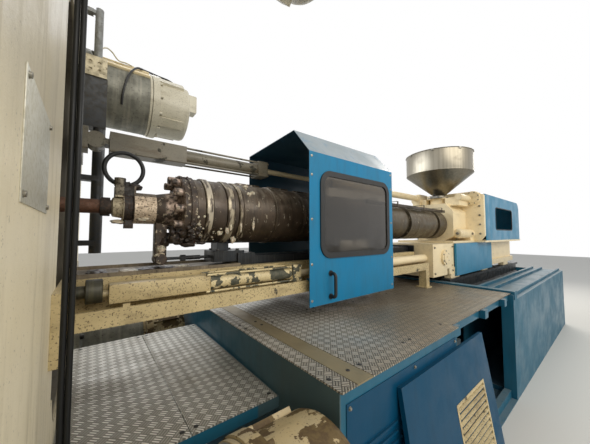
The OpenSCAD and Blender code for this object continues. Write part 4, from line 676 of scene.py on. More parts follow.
# Blank sign plate on the back of the fixed platen, held by four screws
signPlate = {"x": 0.7, "y": (-1.26, -0.93), "z": (1.84, 2.09), "thick": 0.0025, "edge": 0.0008,
             "inset": 0.016, "head": 0.012, "headHigh": 0.005}
face = signPlate["x"] + signPlate["thick"]
y0, y1 = signPlate["y"]
z0, z1 = signPlate["z"]
plate, screws = bmesh.new(), bmesh.new()
addBlock(plate, (signPlate["x"], y0, z0), (face, y1, z1), signPlate["edge"])
for y in (y0 + signPlate["inset"], y1 - signPlate["inset"]):
    for z in (z0 + signPlate["inset"], z1 - signPlate["inset"]):
        addSocketScrew(screws, (face, y, z), toHopper, signPlate["head"], signPlate["headHigh"])
addPiece("signPlate", plate, "machine_frame", "signAluminium")
addPiece("signPlateScrews", screws, "machine_frame", "zincScrew")

# Two black pipes that run up the back of the fixed platen, with their clips
platenPipes = {"y": -0.90, "r": 0.008, "x": (0.7455, 0.7617), "low": (1.12, 1.08), "high": (2.75, 2.79),
               "face": 0.699, "corner": 0.018, "clipX": (0.6998, 0.7645), "clipHalf": (0.012, 0.006),
               "clipZ": (1.165, 2.61)}
y, face, corner = platenPipes["y"], platenPipes["face"], platenPipes["corner"]
mesh = bmesh.new()
for x, low, high in zip(platenPipes["x"], platenPipes["low"], platenPipes["high"]):
    addTube(mesh, smoothLine([
        (face, y, low), (x - corner, y, low + 0.003), (x, y, low + 0.03), (x, y, low + 0.3),
        (x, y, high - 0.3), (x, y, high - 0.03), (x - corner, y, high - 0.003), (face, y, high)]),
        platenPipes["r"], 16)
x0, x1 = platenPipes["clipX"]
halfWide, halfHigh = platenPipes["clipHalf"]
for z in platenPipes["clipZ"]:
    addBlock(mesh, (x0, y - halfWide, z - halfHigh), (x1, y + halfWide, z + halfHigh))
addPiece("platenPipes", mesh, "machine_frame", "blackEnamel")

# Clamp cylinders: flange screws, and a strap and an end plug on each
clampFit = {"flangeX": 0.7555, "flangeR": 0.325, "head": 0.036, "count": 16, "bodyR": 0.30,
            "strapX": 1.205, "strapWide": 0.02, "strapThick": 0.004, "plugX": 1.579,
            "plug": [(0, 0.05), (0.006, 0.05), (0.008, 0.047), (0.008, 0.022, 6), (0.0, 0.02, 6)]}
inner, outer = clampFit["bodyR"] - 0.002, clampFit["bodyR"] + clampFit["strapThick"]
wide = clampFit["strapWide"]
screws, straps = bmesh.new(), bmesh.new()
for y, z in tieAxes:
    addScrewCircle(screws, (clampFit["flangeX"], y, z), toHopper, clampFit["flangeR"], clampFit["count"],
                   clampFit["head"])
    addTurned(straps, (clampFit["strapX"], y, z), toHopper, [
        (0, inner), (0, outer - 0.001), (0.001, outer), (wide - 0.001, outer), (wide, outer - 0.001),
        (wide, inner)], 72, hollow=True)
    addTurned(straps, (clampFit["plugX"], y, z), toHopper, clampFit["plug"], 36)
addPiece("clampFlangeScrews", screws, "machine_frame", "blackScrew")
addPiece("clampStraps", straps, "machine_frame", "capPaint")


# A place on the rear upper cylinder: degrees up from the side that faces the operator
def onRearCylinder(x, degrees, reach):
    a = math.radians(degrees)
    return (x, machine["tieY"] - reach * math.cos(a), axisZ + machine["tieZ"] + reach * math.sin(a))


# The bars along the rear upper cylinder, and its position sensor with lid and gland
sensor = {"lidLow": (1.7003, 1.068, 3.178), "lidHigh": (1.7045, 1.182, 3.352), "gland": (1.63, 1.125, 3.359),
          "glandForm": [(0, 0.014, 6), (0.012, 0.014, 6), (0.012, 0.012), (0.024, 0.011)],
          "railX": (0.757, 1.205), "railDegrees": (38, 62), "railReach": 0.309, "railHalf": (0.012, 0.016)}
mesh = bmesh.new()
addBlock(mesh, sensor["lidLow"], sensor["lidHigh"])
x0, x1 = sensor["railX"]
half = Vector(((x1 - x0) / 2, *sensor["railHalf"]))
for degrees in sensor["railDegrees"]:
    middle = Vector(onRearCylinder((x0 + x1) / 2, degrees, sensor["railReach"]))
    addBlock(mesh, middle - half, middle + half, 0.003, Matrix.Rotation(math.radians(-degrees), 3, "X"))
addPiece("positionSensor", mesh, "machine_frame", "creamClean")
mesh = bmesh.new()
addTurned(mesh, sensor["gland"], up, sensor["glandForm"], 20)
sensorGland = addPiece("sensorGland", mesh, "machine_frame", "zincScrew")

# Sensor lead and cable that lie over the rear upper cylinder
leads = {
    "sensorHose": {"r": 0.009, "finish": "rubber", "ends": "fitting", "points": [
        onRearCylinder(0.98, -32, 0.312), onRearCylinder(0.985, -12, 0.313), onRearCylinder(1.02, 18, 0.318),
        onRearCylinder(1.09, 46, 0.332), onRearCylinder(1.18, 66, 0.325), onRearCylinder(1.30, 76, 0.325),
        onRearCylinder(1.42, 80, 0.322), (1.53, 1.10, 3.405), (1.60, 1.118, 3.407), (1.63, 1.125, 3.385)]},
    "sensorCable": {"r": 0.006, "finish": "creamCable", "ends": "object", "points": [
        (0.812, 0.688, 3.30), (0.83, 0.72, 3.34), (0.86, 0.80, 3.40), (0.90, 0.88, 3.425), (0.95, 0.93, 3.40),
        onRearCylinder(1.02, 58, 0.332), onRearCylinder(1.12, 64, 0.312), onRearCylinder(1.19, 66, 0.31)]}}
for name, lead in leads.items():
    line = smoothLine(lead["points"], 6)
    mesh = bmesh.new()
    addTube(mesh, line, lead["r"], 12)
    piece = addPiece(name, mesh, "machine_frame", lead["finish"], 60)

# Screws on the head of the support arm
supportHead = {"x": (1.53, 1.68), "y": (-0.075, 0.075), "top": 1.665, "head": 0.022}
mesh = bmesh.new()
for y in supportHead["y"]:
    for x in supportHead["x"]:
        addHexScrew(mesh, (x, y, supportHead["top"]), up, supportHead["head"])
addPiece("supportScrews", mesh, "carriage", "blackScrew")

# End cap of the barrel with its bolts, leg and foot roller; it replaces the plainer one of the frame
barrelCap = {"steps": [(1.1203, 0.096), (1.235, 0.12), (1.25, 0.15), (1.25, 0.232), (1.256, 0.238),
                       (1.27, 0.238), (1.27, 0.226), (1.296, 0.226), (1.296, 0.236), (1.33, 0.236),
                       (1.33, 0.1806), (1.2995, 0.1806)],
             "bolts": 12, "boltX": 1.25, "boltR": 0.204, "bolt": 0.05, "boltHigh": 0.052,
             "footX": 1.158, "footZ": 1.622, "legHalf": (0.035, 0.04), "legTop": 1.87, "rollerY": -0.062,
             "roller": [(0, 0.032), (0.004, 0.036), (0.12, 0.036), (0.124, 0.032)]}
x, z = barrelCap["footX"], barrelCap["footZ"]
halfLong, halfWide = barrelCap["legHalf"]
mesh = bmesh.new()
addTurned(mesh, (0, 0, axisZ), toHopper, barrelCap["steps"], 96)
addScrewCircle(mesh, (barrelCap["boltX"], 0, axisZ), toMould, barrelCap["boltR"], barrelCap["bolts"],
               barrelCap["bolt"], barrelCap["boltHigh"], 0)
addBlock(mesh, (x - halfLong, -halfWide, z), (x + halfLong, halfWide, barrelCap["legTop"]), 0.006)
addTurned(mesh, (x, barrelCap["rollerY"], z), (0, 1, 0), barrelCap["roller"], 40)
piece = addPiece("barrelCap", mesh, "carriage", "endCap")
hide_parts("end_cap")


# A ring round the barrel from x0 to x1 with broken edges and, if asked, raised rims at its ends
def addCollar(mesh, x0, x1, inner, outer, edge=0.002, rim=0.0, rimWide=0.012):
    high = outer + rim
    long = x1 - x0
    profile = [(0, inner), (0, high - edge), (edge, high)]
    if rim:
        profile += [(rimWide, high), (rimWide + rim, outer), (long - rimWide - rim, outer),
                    (long - rimWide, high)]
    profile += [(long - edge, high), (long, high - edge), (long, inner), (0, inner)]
    addTurned(mesh, (x0, 0, axisZ), toHopper, profile, 96, hollow=True)


# Heater bands as rolled jackets, each (start, end, radius); long ones have a seam on top, closed by bolts,
# and a terminal box behind with its conduit
bandSets = {
    "bandsFront": {"finish": "frontBands", "node": "heater_bands_front", "bands": [
        (1.332, 1.387, 0.226), (1.389, 1.434, 0.237), (1.436, 1.534, 0.228), (1.536, 1.590, 0.236),
        (1.592, 1.624, 0.226), (1.626, 1.658, 0.235)]},
    "bandsMiddle": {"finish": "bands", "node": "heater_bands_middle", "bands": [
        (1.660, 1.933, 0.231), (1.935, 1.948, 0.238), (1.950, 2.233, 0.233), (2.237, 2.500, 0.229),
        (2.504, 2.786, 0.229), (2.790, 3.120, 0.229), (3.126, 3.460, 0.229)]},
    "bandsRear": {"finish": "rearBands", "node": "heater_bands_rear", "bands": [
        (3.466, 3.965, 0.224), (3.969, 4.066, 0.196), (4.070, 4.276, 0.224), (4.280, 4.832, 0.224),
        (4.836, 4.918, 0.196), (4.922, 5.165, 0.224)]}}
bandLook = {"inner": 0.1806, "long": 0.2, "edge": (0.004, 0.002), "rim": 0.0018, "seamY": (0.004, 0.022),
            "seamInset": 0.03, "seamZ": (-0.02, 0.014), "boxX": (0.10, 0.22), "boxY": (0.12, 0.038),
            "boxHalf": 0.04, "boltPitch": 0.1, "boltFrom": 0.06, "boltEnds": 0.1, "boltY": -0.032,
            "boltSunk": 0.002, "conduit": 0.008,
            "bolt": [(0, 0.010, 6), (0.009, 0.010, 6), (0.009, 0.005), (0.054, 0.005), (0.054, 0.010, 6),
                     (0.063, 0.010, 6)],
            "ductFrom": 3.1,
            "toDuct": [(0.16, -0.02, 0.039), (0.16, -0.02, 0.08), (0.18, -0.01, 0.13)],
            "inDuct": [(0.20, 0.226, 0.18), (0.21, 0.2, 0.20)],
            "along": [(0.16, -0.02, 0.039), (0.16, 0, 0.09), (0.2, 0.02, 0.14), (0.30, 0.02, 0.17),
                      (0.36, 0.015, 0.17)]}
bolts, conduits = bmesh.new(), bmesh.new()
for setName, bandSet in bandSets.items():
    mesh = bmesh.new()
    for x0, x1, r in bandSet["bands"]:
        isLong = x1 - x0 > bandLook["long"]
        addCollar(mesh, x0, x1, bandLook["inner"], r, bandLook["edge"][isLong], bandLook["rim"] * isLong)
        if not isLong:
            continue
        top, reach = axisZ + r, r + bandLook["boxY"][1]
        seam0, seam1 = x0 + bandLook["seamInset"], x1 - bandLook["seamInset"]
        for s in (-1, 1):
            addBlock(mesh, (seam0, s * bandLook["seamY"][0], top + bandLook["seamZ"][0]),
                     (seam1, s * bandLook["seamY"][1], top + bandLook["seamZ"][1]))
        addBlock(mesh, (x0 + bandLook["boxX"][0], bandLook["boxY"][0], axisZ - bandLook["boxHalf"]),
                 (x0 + bandLook["boxX"][1], reach, axisZ + bandLook["boxHalf"]), 0.004)
        for k in range(int((x1 - x0 - bandLook["boltEnds"]) / bandLook["boltPitch"]) + 1):
            x = x0 + bandLook["boltFrom"] + k * bandLook["boltPitch"]
            place = (x, bandLook["boltY"], top - bandLook["boltSunk"])
            addTurned(bolts, place, (0, 1, 0), bandLook["bolt"], 18)
        isRear = x0 > bandLook["ductFrom"]
        route = [(x0 + x, reach + y, axisZ + z) for x, y, z in bandLook["toDuct" if isRear else "along"]]
        if isRear:
            route += [(x0 + x, y, axisZ + z) for x, y, z in bandLook["inDuct"]]
        addTube(conduits, smoothLine(route, 6), bandLook["conduit"], 12)
    bmesh.ops.remove_doubles(mesh, verts=mesh.verts, dist=1e-6)
    piece = addPiece(setName, mesh, "carriage", bandSet["finish"])
    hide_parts(bandSet["node"])
addPiece("bandClampBolts", bolts, "carriage", "zincScrew")
addPiece("bandConduits", conduits, "carriage", "blackScrew")

# Front pull-in cylinder: square valve body, tube with its end plate and tie rods, and the greasy bush at
# the platen; it replaces the plainer one of the frame
pullFront = {"y": -0.30, "z": 1.49, "bodyX": (0.876, 1.38), "bodyHalf": (0.045, 0.0475), "tubeX": 1.378,
             "plateX": (2.0, 2.08), "plateHalf": 0.065, "pinX": 0.848, "rodX": 1.35, "rodOff": 0.050,
             "drumX": 0.7845, "drumZ": 1.5075, "flangeX": 0.7302,
             "pin": [(0, 0.017), (0.04, 0.017)],
             "tube": [(0, 0.052), (0.03, 0.052), (0.034, 0.046), (0.60, 0.046), (0.604, 0.051),
                      (0.623, 0.051)],
             "drum": [(0, 0.0545), (0.004, 0.0585), (0.064, 0.0585), (0.0675, 0.0545)],
             "plug": [(-0.001, 0.026), (0.004, 0.026), (0.006, 0.024), (0.006, 0.014, 6),
                      (0.002, 0.014, 6)],
             "rod": [(0, 0.007), (0.72, 0.007), (0.72, 0.013, 6), (0.733, 0.013, 6), (0.733, 0.007),
                     (0.742, 0.006)],
             "flange": [(0, 0.058), (0.016, 0.058), (0.019, 0.055), (0.019, 0.03), (0.056, 0.03)]}
y, z = pullFront["y"], pullFront["z"]
x0, x1 = pullFront["bodyX"]
halfWide, halfHigh = pullFront["bodyHalf"]
mesh = bmesh.new()
addBlock(mesh, (x0, y - halfWide, z - halfHigh), (x1, y + halfWide, z + halfHigh), 0.005)
addTurned(mesh, (pullFront["pinX"], y, z), toHopper, pullFront["pin"], 24)
piece = addPiece("pullBody", mesh, "machine_frame", "creamWorn")
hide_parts("pull_cylinder_front")
mesh = bmesh.new()
addTurned(mesh, (pullFront["tubeX"], y, z), toHopper, pullFront["tube"], 48)
x0, x1 = pullFront["plateX"]
half = pullFront["plateHalf"]
addBlock(mesh, (x0, y - half, z - half), (x1, y + half, z + half), 0.006)
addTurned(mesh, ((x0 + x1) / 2, y - half, z), toOperator, pullFront["plug"], 32)
for dy in (-pullFront["rodOff"], pullFront["rodOff"]):
    for dz in (-pullFront["rodOff"], pullFront["rodOff"]):
        addTurned(mesh, (pullFront["rodX"], y + dy, z + dz), toHopper, pullFront["rod"], 18)
addPiece("pullTube", mesh, "machine_frame", "creamPeeled")
mesh = bmesh.new()
addTurned(mesh, (pullFront["drumX"], y, pullFront["drumZ"]), toHopper, pullFront["drum"], 48)
addTurned(mesh, (pullFront["flangeX"], y, pullFront["drumZ"]), toHopper, pullFront["flange"], 40)
addPiece("pullBush", mesh, "machine_frame", "drumPaint")

# Wire ducts along both sides of the heater bands, hung from straps over the seams
duct = {"x": (3.15, 5.15), "y": (0.166, 0.204), "z": (2.128, 2.166), "strapX": (3.30, 3.75, 4.44, 5.02),
        "strapZ": 2.1985, "strapWide": 0.03, "strapThick": 0.004}
(y0, y1), (z0, z1) = duct["y"], duct["z"]
top, thick = duct["strapZ"], duct["strapThick"]
mesh = bmesh.new()
for s in (-1, 1):
    addBlock(mesh, (duct["x"][0], s * y0, z0), (duct["x"][1], s * y1, z1))
    for x in duct["strapX"]:
        addBlock(mesh, (x, s * y1, z0), (x + duct["strapWide"], s * (y1 + thick), top), 0.001)
for x in duct["strapX"]:
    addBlock(mesh, (x, -y1 - thick, top - thick), (x + duct["strapWide"], y1 + thick, top), 0.001)
addPiece("wireDucts", mesh, "carriage", "barrelSteel")

# Plastic that ran out at the nozzle and hardened: (centre, half sizes, seed)
crust = {
    "palePlastic": [
        ((1.62, -0.127, 1.75), (0.022, 0.012, 0.03), 1), ((1.545, -0.197, 1.816), (0.014, 0.008, 0.03), 2),
        ((1.50, -0.171, 1.80), (0.02, 0.009, 0.024), 3), ((1.158, -0.045, 1.69), (0.028, 0.012, 0.022), 4),
        ((1.30, 0.02, 1.565), (0.06, 0.04, 0.006), 5), ((1.05, -0.071, 1.879), (0.03, 0.012, 0.012), 6),
        ((0.93, 0.0, 1.862), (0.045, 0.03, 0.014), 7), ((1.565, -0.21, 1.84), (0.009, 0.006, 0.028), 8),
        ((1.74, -0.214, 1.864), (0.01, 0.008, 0.05), 9), ((1.64, -0.214, 1.854), (0.008, 0.008, 0.06), 10),
        ((1.2, 0.05, 1.566), (0.09, 0.05, 0.005), 11), ((0.98, -0.03, 1.566), (0.05, 0.07, 0.006), 12),
        ((1.155, -0.03, 1.648), (0.032, 0.026, 0.02), 21)],
    "burntPlastic": [
        ((1.235, -0.1, 1.755), (0.045, 0.03, 0.035), 13), ((1.18, -0.02, 1.735), (0.03, 0.04, 0.03), 14),
        ((1.31, -0.08, 1.718), (0.05, 0.04, 0.02), 15), ((1.14, 0.02, 1.565), (0.12, 0.08, 0.008), 16),
        ((1.40, -0.096, 1.728), (0.03, 0.02, 0.014), 17), ((0.83, -0.02, 1.57), (0.05, 0.1, 0.01), 18),
        ((1.205, -0.135, 1.81), (0.018, 0.012, 0.03), 19), ((1.01, 0.0, 2.085), (0.04, 0.04, 0.02), 20)]}
# crumbs and smears on the rings: x range, degrees up from the operator's side, radius, size, how many
crumbs = {
    "palePlastic": [
        ((1.336, 1.384), (-52, -12), 0.226, 0.007, 26), ((1.30, 1.33), (-50, -20), 0.236, 0.005, 8),
        ((1.705, 1.755), (34, 62), 0.231, 0.014, 7), ((1.44, 1.53), (-62, -30), 0.228, 0.006, 10)],
    "burntPlastic": [
        ((1.25, 1.33), (-80, -25), 0.236, 0.014, 16), ((1.336, 1.384), (-75, -30), 0.226, 0.014, 12),
        ((1.25, 1.33), (60, 110), 0.236, 0.010, 8)]}
trayTop = 1.58  # what lies lower than this is on the tray
pick = random.Random(11)
for finishName, lumps in crust.items():
    onTray, onBarrel = bmesh.new(), bmesh.new()
    for centre, size, seed in lumps:
        addLump(onTray if centre[2] < trayTop else onBarrel, centre, size, seed)
    for xRange, degrees, r, size, count in crumbs[finishName]:
        for k in range(count):
            a = math.radians(pick.uniform(*degrees))
            wide = size * pick.uniform(0.5, 1.3)
            addLump(onBarrel, (pick.uniform(*xRange), -r * math.cos(a), axisZ + r * math.sin(a)),
                    (wide, wide * 0.7, wide * 0.9), 30 + k, 0.6)
    addPiece(finishName + "OnTray", onTray, "machine_frame", finishName, 80)
    addPiece(finishName + "OnBarrel", onBarrel, "carriage", finishName, 80)

# Guard: rivets along its front's upright edges, and the screws of the pull handle
guardFit = {"rivetX": (2.095, 3.168), "rivetY": -0.4695, "rivetZ": (1.29, 1.56, 1.90, 2.24, 2.385),
            "rivet": [(-0.001, 0.011), (0.0015, 0.011), (0.004, 0.0077), (0.0052, 0)],
            "handleX": 2.29, "handleY": -0.4782, "handleZ": (1.30, 1.48), "screwOff": 0.0162,
            "head": 0.007, "headHigh": 0.003}
rivets, screws = bmesh.new(), bmesh.new()
for x in guardFit["rivetX"]:
    for z in guardFit["rivetZ"]:
        addTurned(rivets, (x, guardFit["rivetY"], z), toOperator, guardFit["rivet"], 20)
for z in guardFit["handleZ"]:
    for s in (-1, 1):
        place = (guardFit["handleX"], guardFit["handleY"], z + s * guardFit["screwOff"])
        addSocketScrew(screws, place, toOperator, guardFit["head"], guardFit["headHigh"])
addPiece("guardRivets", rivets, "purge_guard", "zincScrew")
addPiece("handleScrews", screws, "purge_guard", "blackScrew")

# Screws of the tread plates, with none where the deck steps back, and of the louvred panel
deckFit = {"deckX": (1.66, 1.79, 1.88, 2.30, 2.38, 2.82, 3.4, 3.95, 4.46),
           "deckY": (-1.06, -0.26, -0.17, 1.1), "deckZ": 1.13, "backX": 2.86, "backY": -1.0,
           "walkX": (0.76, 1.14, 1.20, 1.59), "walkY": (-0.67, 0.67), "walkZ": 0.913,
           "screw": [(-0.001, 0.011), (0.001, 0.011), (0.003, 0.007), (0.003, 0.003, 6),
                     (0.0015, 0.003, 6)],
           "louvreX": (1.69, 2.25, 2.81), "louvreY": -1.1542, "louvreZ": (0.085, 0.56, 1.04),
           "louvreHead": 0.013}
places = [(x, y, deckFit["deckZ"]) for x in deckFit["deckX"] for y in deckFit["deckY"]
          if x < deckFit["backX"] or y > deckFit["backY"]]
places += [(x, y, deckFit["walkZ"]) for x in deckFit["walkX"] for y in deckFit["walkY"]]
mesh = bmesh.new()
for place in places:
    addTurned(mesh, place, up, deckFit["screw"], 18)
addPiece("plateScrews", mesh, "machine_frame", "blackScrew")
mesh = bmesh.new()
for x in deckFit["louvreX"]:
    for z in deckFit["louvreZ"]:
        addHexScrew(mesh, (x, deckFit["louvreY"], z), toOperator, deckFit["louvreHead"])
addPiece("louvreScrews", mesh, "machine_frame", "zincScrew")

# Cover discs with their screws, on the carriage block and on both sides of the feed casting's rear plate
discs = [{"at": (4.53, -0.446, 1.48), "way": toOperator, "r": 0.1, "under": 0.0, "screws": 6},
         {"at": (5.685, -0.41, 2.387), "way": toMould, "r": 0.11, "under": 0.0455, "screws": 8},
         {"at": (5.685, 0.41, 2.387), "way": toMould, "r": 0.11, "under": 0.0455, "screws": 8}]
discScrew = {"circle": 0.85, "head": 0.016, "headHigh": 0.008}
covers, screws = bmesh.new(), bmesh.new()
for disc in discs:
    centre, r, under = disc["at"], disc["r"], disc["under"]
    addTurned(covers, centre, disc["way"], [
        (-0.001, r * 0.72), (0.008, r * 0.72), (0.011, r * 0.69), (0.011, r * 0.2), (0.005, r * 0.17)], 48)
    if under:
        addTurned(covers, centre, disc["way"], [(-under, r), (-0.003, r), (0, r - 0.003)], 64)
    addScrewCircle(screws, centre, disc["way"], r * discScrew["circle"], disc["screws"], discScrew["head"],
                   discScrew["headHigh"])
addPiece("coverDiscs", covers, "carriage", "creamClean")

# Screws and plugs of the carriage block, the rear plate, the feed casting and the hopper's foot
feedFit = {"blockX": (4.245, 4.80), "blockY": -0.42, "blockZ": (1.285, 1.615), "blockHead": 0.022,
           "plateX": 5.73, "plateY": 0.50, "plateZ": (1.80, 1.95, 2.10, 2.25), "plateHead": 0.026,
           "portX": 5.222, "portY": 0.35, "plugX": 5.60, "plugY": 0.425, "portZ": 1.80,
           "port": [(-0.004, 0.03), (0.0, 0.03), (0, 0.024, 6), (0.016, 0.024, 6), (0.018, 0.019)],
           "plug": [(-0.002, 0.022, 6), (0.014, 0.022, 6), (0.014, 0.012), (0.02, 0.012)],
           "hopperX": 5.46, "hopperTop": 2.4153, "hopperR": 0.118, "hopperHead": 0.014,
           "hopperDegrees": (22.5, 157.5, 202.5, 337.5)}
for x in feedFit["blockX"]:
    for z in feedFit["blockZ"]:
        addSocketScrew(screws, (x, feedFit["blockY"], z), toOperator, feedFit["blockHead"])
for s in (-1, 1):
    for z in feedFit["plateZ"]:
        addSocketScrew(screws, (feedFit["plateX"], s * feedFit["plateY"], z), toMould, feedFit["plateHead"])
    for kind, way in (("port", toMould), ("plug", (0, s, 0))):
        place = (feedFit[kind + "X"], s * feedFit[kind + "Y"], feedFit["portZ"])
        addTurned(screws, place, way, feedFit[kind], 24)
for degrees in feedFit["hopperDegrees"]:
    a = math.radians(degrees)
    x, y = feedFit["hopperX"] + feedFit["hopperR"] * math.cos(a), feedFit["hopperR"] * math.sin(a)
    addHexScrew(screws, (x, y, feedFit["hopperTop"]), up, feedFit["hopperHead"])
addPiece("carriageScrews", screws, "carriage", "zincScrew")


# A plate across the machine from x0 to x1, with an outline of (y, z) points and broken edges
def addPlate(mesh, outline, x0, x1, edge):
    near = [mesh.verts.new((x0, y, z)) for y, z in outline]
    far = [mesh.verts.new((x1, y, z)) for y, z in outline]
    faces = [mesh.faces.new(near), mesh.faces.new(far)]
    for k in range(len(outline)):
        after = (k + 1) % len(outline)
        faces.append(mesh.faces.new([near[k], near[after], far[after], far[k]]))
    lines = list({e for f in faces for e in f.edges})
    bmesh.ops.bevel(mesh, geom=lines, offset=edge, segments=2, affect="EDGES", profile=0.5)


# Rear plate of the feed casting with the table's wings below it, and the front end of the drive cover behind
rearPlate = {"x": (5.73, 5.80), "edge": 0.008,
             "rightSide": [(0.5, 1.6902), (0.56, 1.77), (0.56, 2.43), (0.45, 2.50)],
             "wingX": (5.72, 5.9998), "wingY": (0.4205, 0.57), "wingZ": (1.66, 1.69),
             "coverX": (5.8005, 6.0098), "coverY": 0.56, "coverZ": (1.6903, 2.45), "sheet": 0.005}
side = rearPlate["rightSide"]
plate, cover = bmesh.new(), bmesh.new()
addPlate(plate, [(-side[0][0], side[0][1])] + side + [(-y, z) for y, z in side[:0:-1]], *rearPlate["x"],
         rearPlate["edge"])
x0, x1 = rearPlate["coverX"]
z0, z1 = rearPlate["coverZ"]
y, sheet = rearPlate["coverY"], rearPlate["sheet"]
for s in (-1, 1):
    addBlock(plate, (rearPlate["wingX"][0], s * rearPlate["wingY"][0], rearPlate["wingZ"][0]),
             (rearPlate["wingX"][1], s * rearPlate["wingY"][1], rearPlate["wingZ"][1]), 0.003)
    addBlock(cover, (x0, s * (y - sheet), z0), (x1, s * y, z1), 0.001)
addBlock(cover, (x0, -y, z1 - sheet), (x1, y, z1), 0.001)
addPiece("rearPlate", plate, "carriage", "creamClean")
addPiece("driveCoverFront", cover, "carriage", "driveBlue")


# Points of an upright rectangle with round corners, on a plane across Y
def roundedLoop(x, y, z, w, h, r, steps=8):
    loop = []
    for cx, cz, start in ((w / 2 - r, h / 2 - r, 0), (r - w / 2, h / 2 - r, 90), (r - w / 2, r - h / 2, 180),
                          (w / 2 - r, r - h / 2, 270)):
        for k in range(steps + 1):
            a = math.radians(start + 90 * k / steps)
            loop.append((x + cx + r * math.cos(a), y, z + cz + r * math.sin(a)))
    return loop


# Rounded window frames of the drive cover, and vents at its end
driveFit = {"windowX": 6.88, "windowY": 0.5575, "windowZ": 2.065, "window": (1.08, 0.39, 0.06), "tube": 0.009,
            "ventX": (7.9995, 8.006), "ventY": (-0.32, 0, 0.32), "ventHalf": 0.12, "ventZ": 1.85,
            "ventHigh": 0.007, "vents": 9, "pitch": 0.035}
trim, vents = bmesh.new(), bmesh.new()
for s in (-1, 1):
    addTube(trim, roundedLoop(driveFit["windowX"], s * driveFit["windowY"], driveFit["windowZ"],
                              *driveFit["window"]), driveFit["tube"], 12, ring=True)
x0, x1 = driveFit["ventX"]
half, high = driveFit["ventHalf"], driveFit["ventHigh"]
for k in range(driveFit["vents"]):
    z = driveFit["ventZ"] + k * driveFit["pitch"]
    for y in driveFit["ventY"]:
        addBlock(vents, (x0, y - half, z), (x1, y + half, z + high))
addPiece("driveWindowTrim", trim, "carriage", "rubber", 60)
addPiece("driveVents", vents, "carriage", "driveBlue")

# Valve on the drive motor with its two fittings and hoses
motorValve = {"low": (6.61, -0.095, 2.2495), "high": (6.77, 0.095, 2.285), "fitX": 6.69,
              "fitY": (-0.05, 0.05), "fitZ": 2.284, "hoseR": 0.014,
              "fitting": [(0, 0.022, 6), (0.02, 0.022, 6), (0.02, 0.016), (0.035, 0.016)],
              "hose": [(6.69, 1, 2.31), (6.70, 1.2, 2.345), (6.74, 1.8, 2.37), (6.80, 2.4, 2.35),
                       (6.84, 2.6, 2.28), (6.86, 2.6, 2.20), (6.87, 2.5, 2.13)]}
valve, hoses = bmesh.new(), bmesh.new()
addBlock(valve, motorValve["low"], motorValve["high"], 0.006)
for y in motorValve["fitY"]:
    addTurned(valve, (motorValve["fitX"], y, motorValve["fitZ"]), up, motorValve["fitting"], 24)
    line = smoothLine([(x, y * spread, z) for x, spread, z in motorValve["hose"]])
    addTube(hoses, line, motorValve["hoseR"])
addPiece("motorValve", valve, "crosshead", "redEnamel")
addPiece("motorHoses", hoses, "crosshead", "rubber", 60)

# Hopper: a deep rim over a cone, with a rolled edge and clips; it replaces the plainer one of the frame
hopperForm = {"x": 5.46, "base": 2.4013, "throat": 0.075, "flange": 0.135, "neck": 0.085, "coneTop": 2.795,
              "r": 0.505, "top": 3.14, "sheet": 0.004, "roll": 0.010, "railX": (5.33, 5.59),
              "railY": (0.1, 0.13), "railZ": (2.3903, 2.4011), "clips": 8, "clipR": 0.5125, "clipZ": 3.115,
              "clipLow": (-0.002, -0.02, -0.0075), "clipHigh": (0.002, 0.02, 0.0185)}
r, inner, roll = hopperForm["r"], hopperForm["r"] - hopperForm["sheet"], hopperForm["r"] + hopperForm["roll"]
base, cone, top = hopperForm["base"], hopperForm["coneTop"], hopperForm["top"]
throat, flange, neck = hopperForm["throat"], hopperForm["flange"], hopperForm["neck"]
mesh = bmesh.new()
addTurned(mesh, (hopperForm["x"], 0, 0), up, [
    (base, throat), (base, flange), (base + 0.014, flange), (base + 0.014, neck), (base + 0.04, neck),
    (cone, r - 0.001), (cone + 0.004, r + 0.002), (cone + 0.010, r + 0.002), (cone + 0.013, r),
    (top - 0.014, r), (top - 0.012, r + 0.006), (top - 0.007, roll), (top - 0.002, r + 0.006),
    (top, r), (top, inner), (cone + 0.001, inner), (base + 0.042, throat), (base, throat)], 128, hollow=True)
for s in (-1, 1):
    addBlock(mesh, (hopperForm["railX"][0], s * hopperForm["railY"][0], hopperForm["railZ"][0]),
             (hopperForm["railX"][1], s * hopperForm["railY"][1], hopperForm["railZ"][1]), 0.001)
bmesh.ops.remove_doubles(mesh, verts=mesh.verts, dist=1e-6)
piece = addPiece("granuleHopper", mesh, "carriage", "stainless")
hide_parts("hopper")
mesh = bmesh.new()
for k in range(hopperForm["clips"]):
    a = 2 * math.pi * (k + 0.3) / hopperForm["clips"]
    middle = Vector((hopperForm["x"] + hopperForm["clipR"] * math.cos(a), hopperForm["clipR"] * math.sin(a),
                     hopperForm["clipZ"]))
    addBlock(mesh, middle + Vector(hopperForm["clipLow"]), middle + Vector(hopperForm["clipHigh"]), 0.001,
             Matrix.Rotation(a, 3, "Z"))
addPiece("hopperClips", mesh, "carriage", "zincScrew")
gateKnob = {"place": (5.262, 0, 2.4245), "form": [
    (0, 0.007), (0.012, 0.007), (0.016, 0.014), (0.024, 0.018), (0.034, 0.014), (0.038, 0)]}
mesh = bmesh.new()
addTurned(mesh, gateKnob["place"], up, gateKnob["form"], 28)
addPiece("gateKnob", mesh, "hopper_gate", "rubber", 60)
print("injection side dressed")

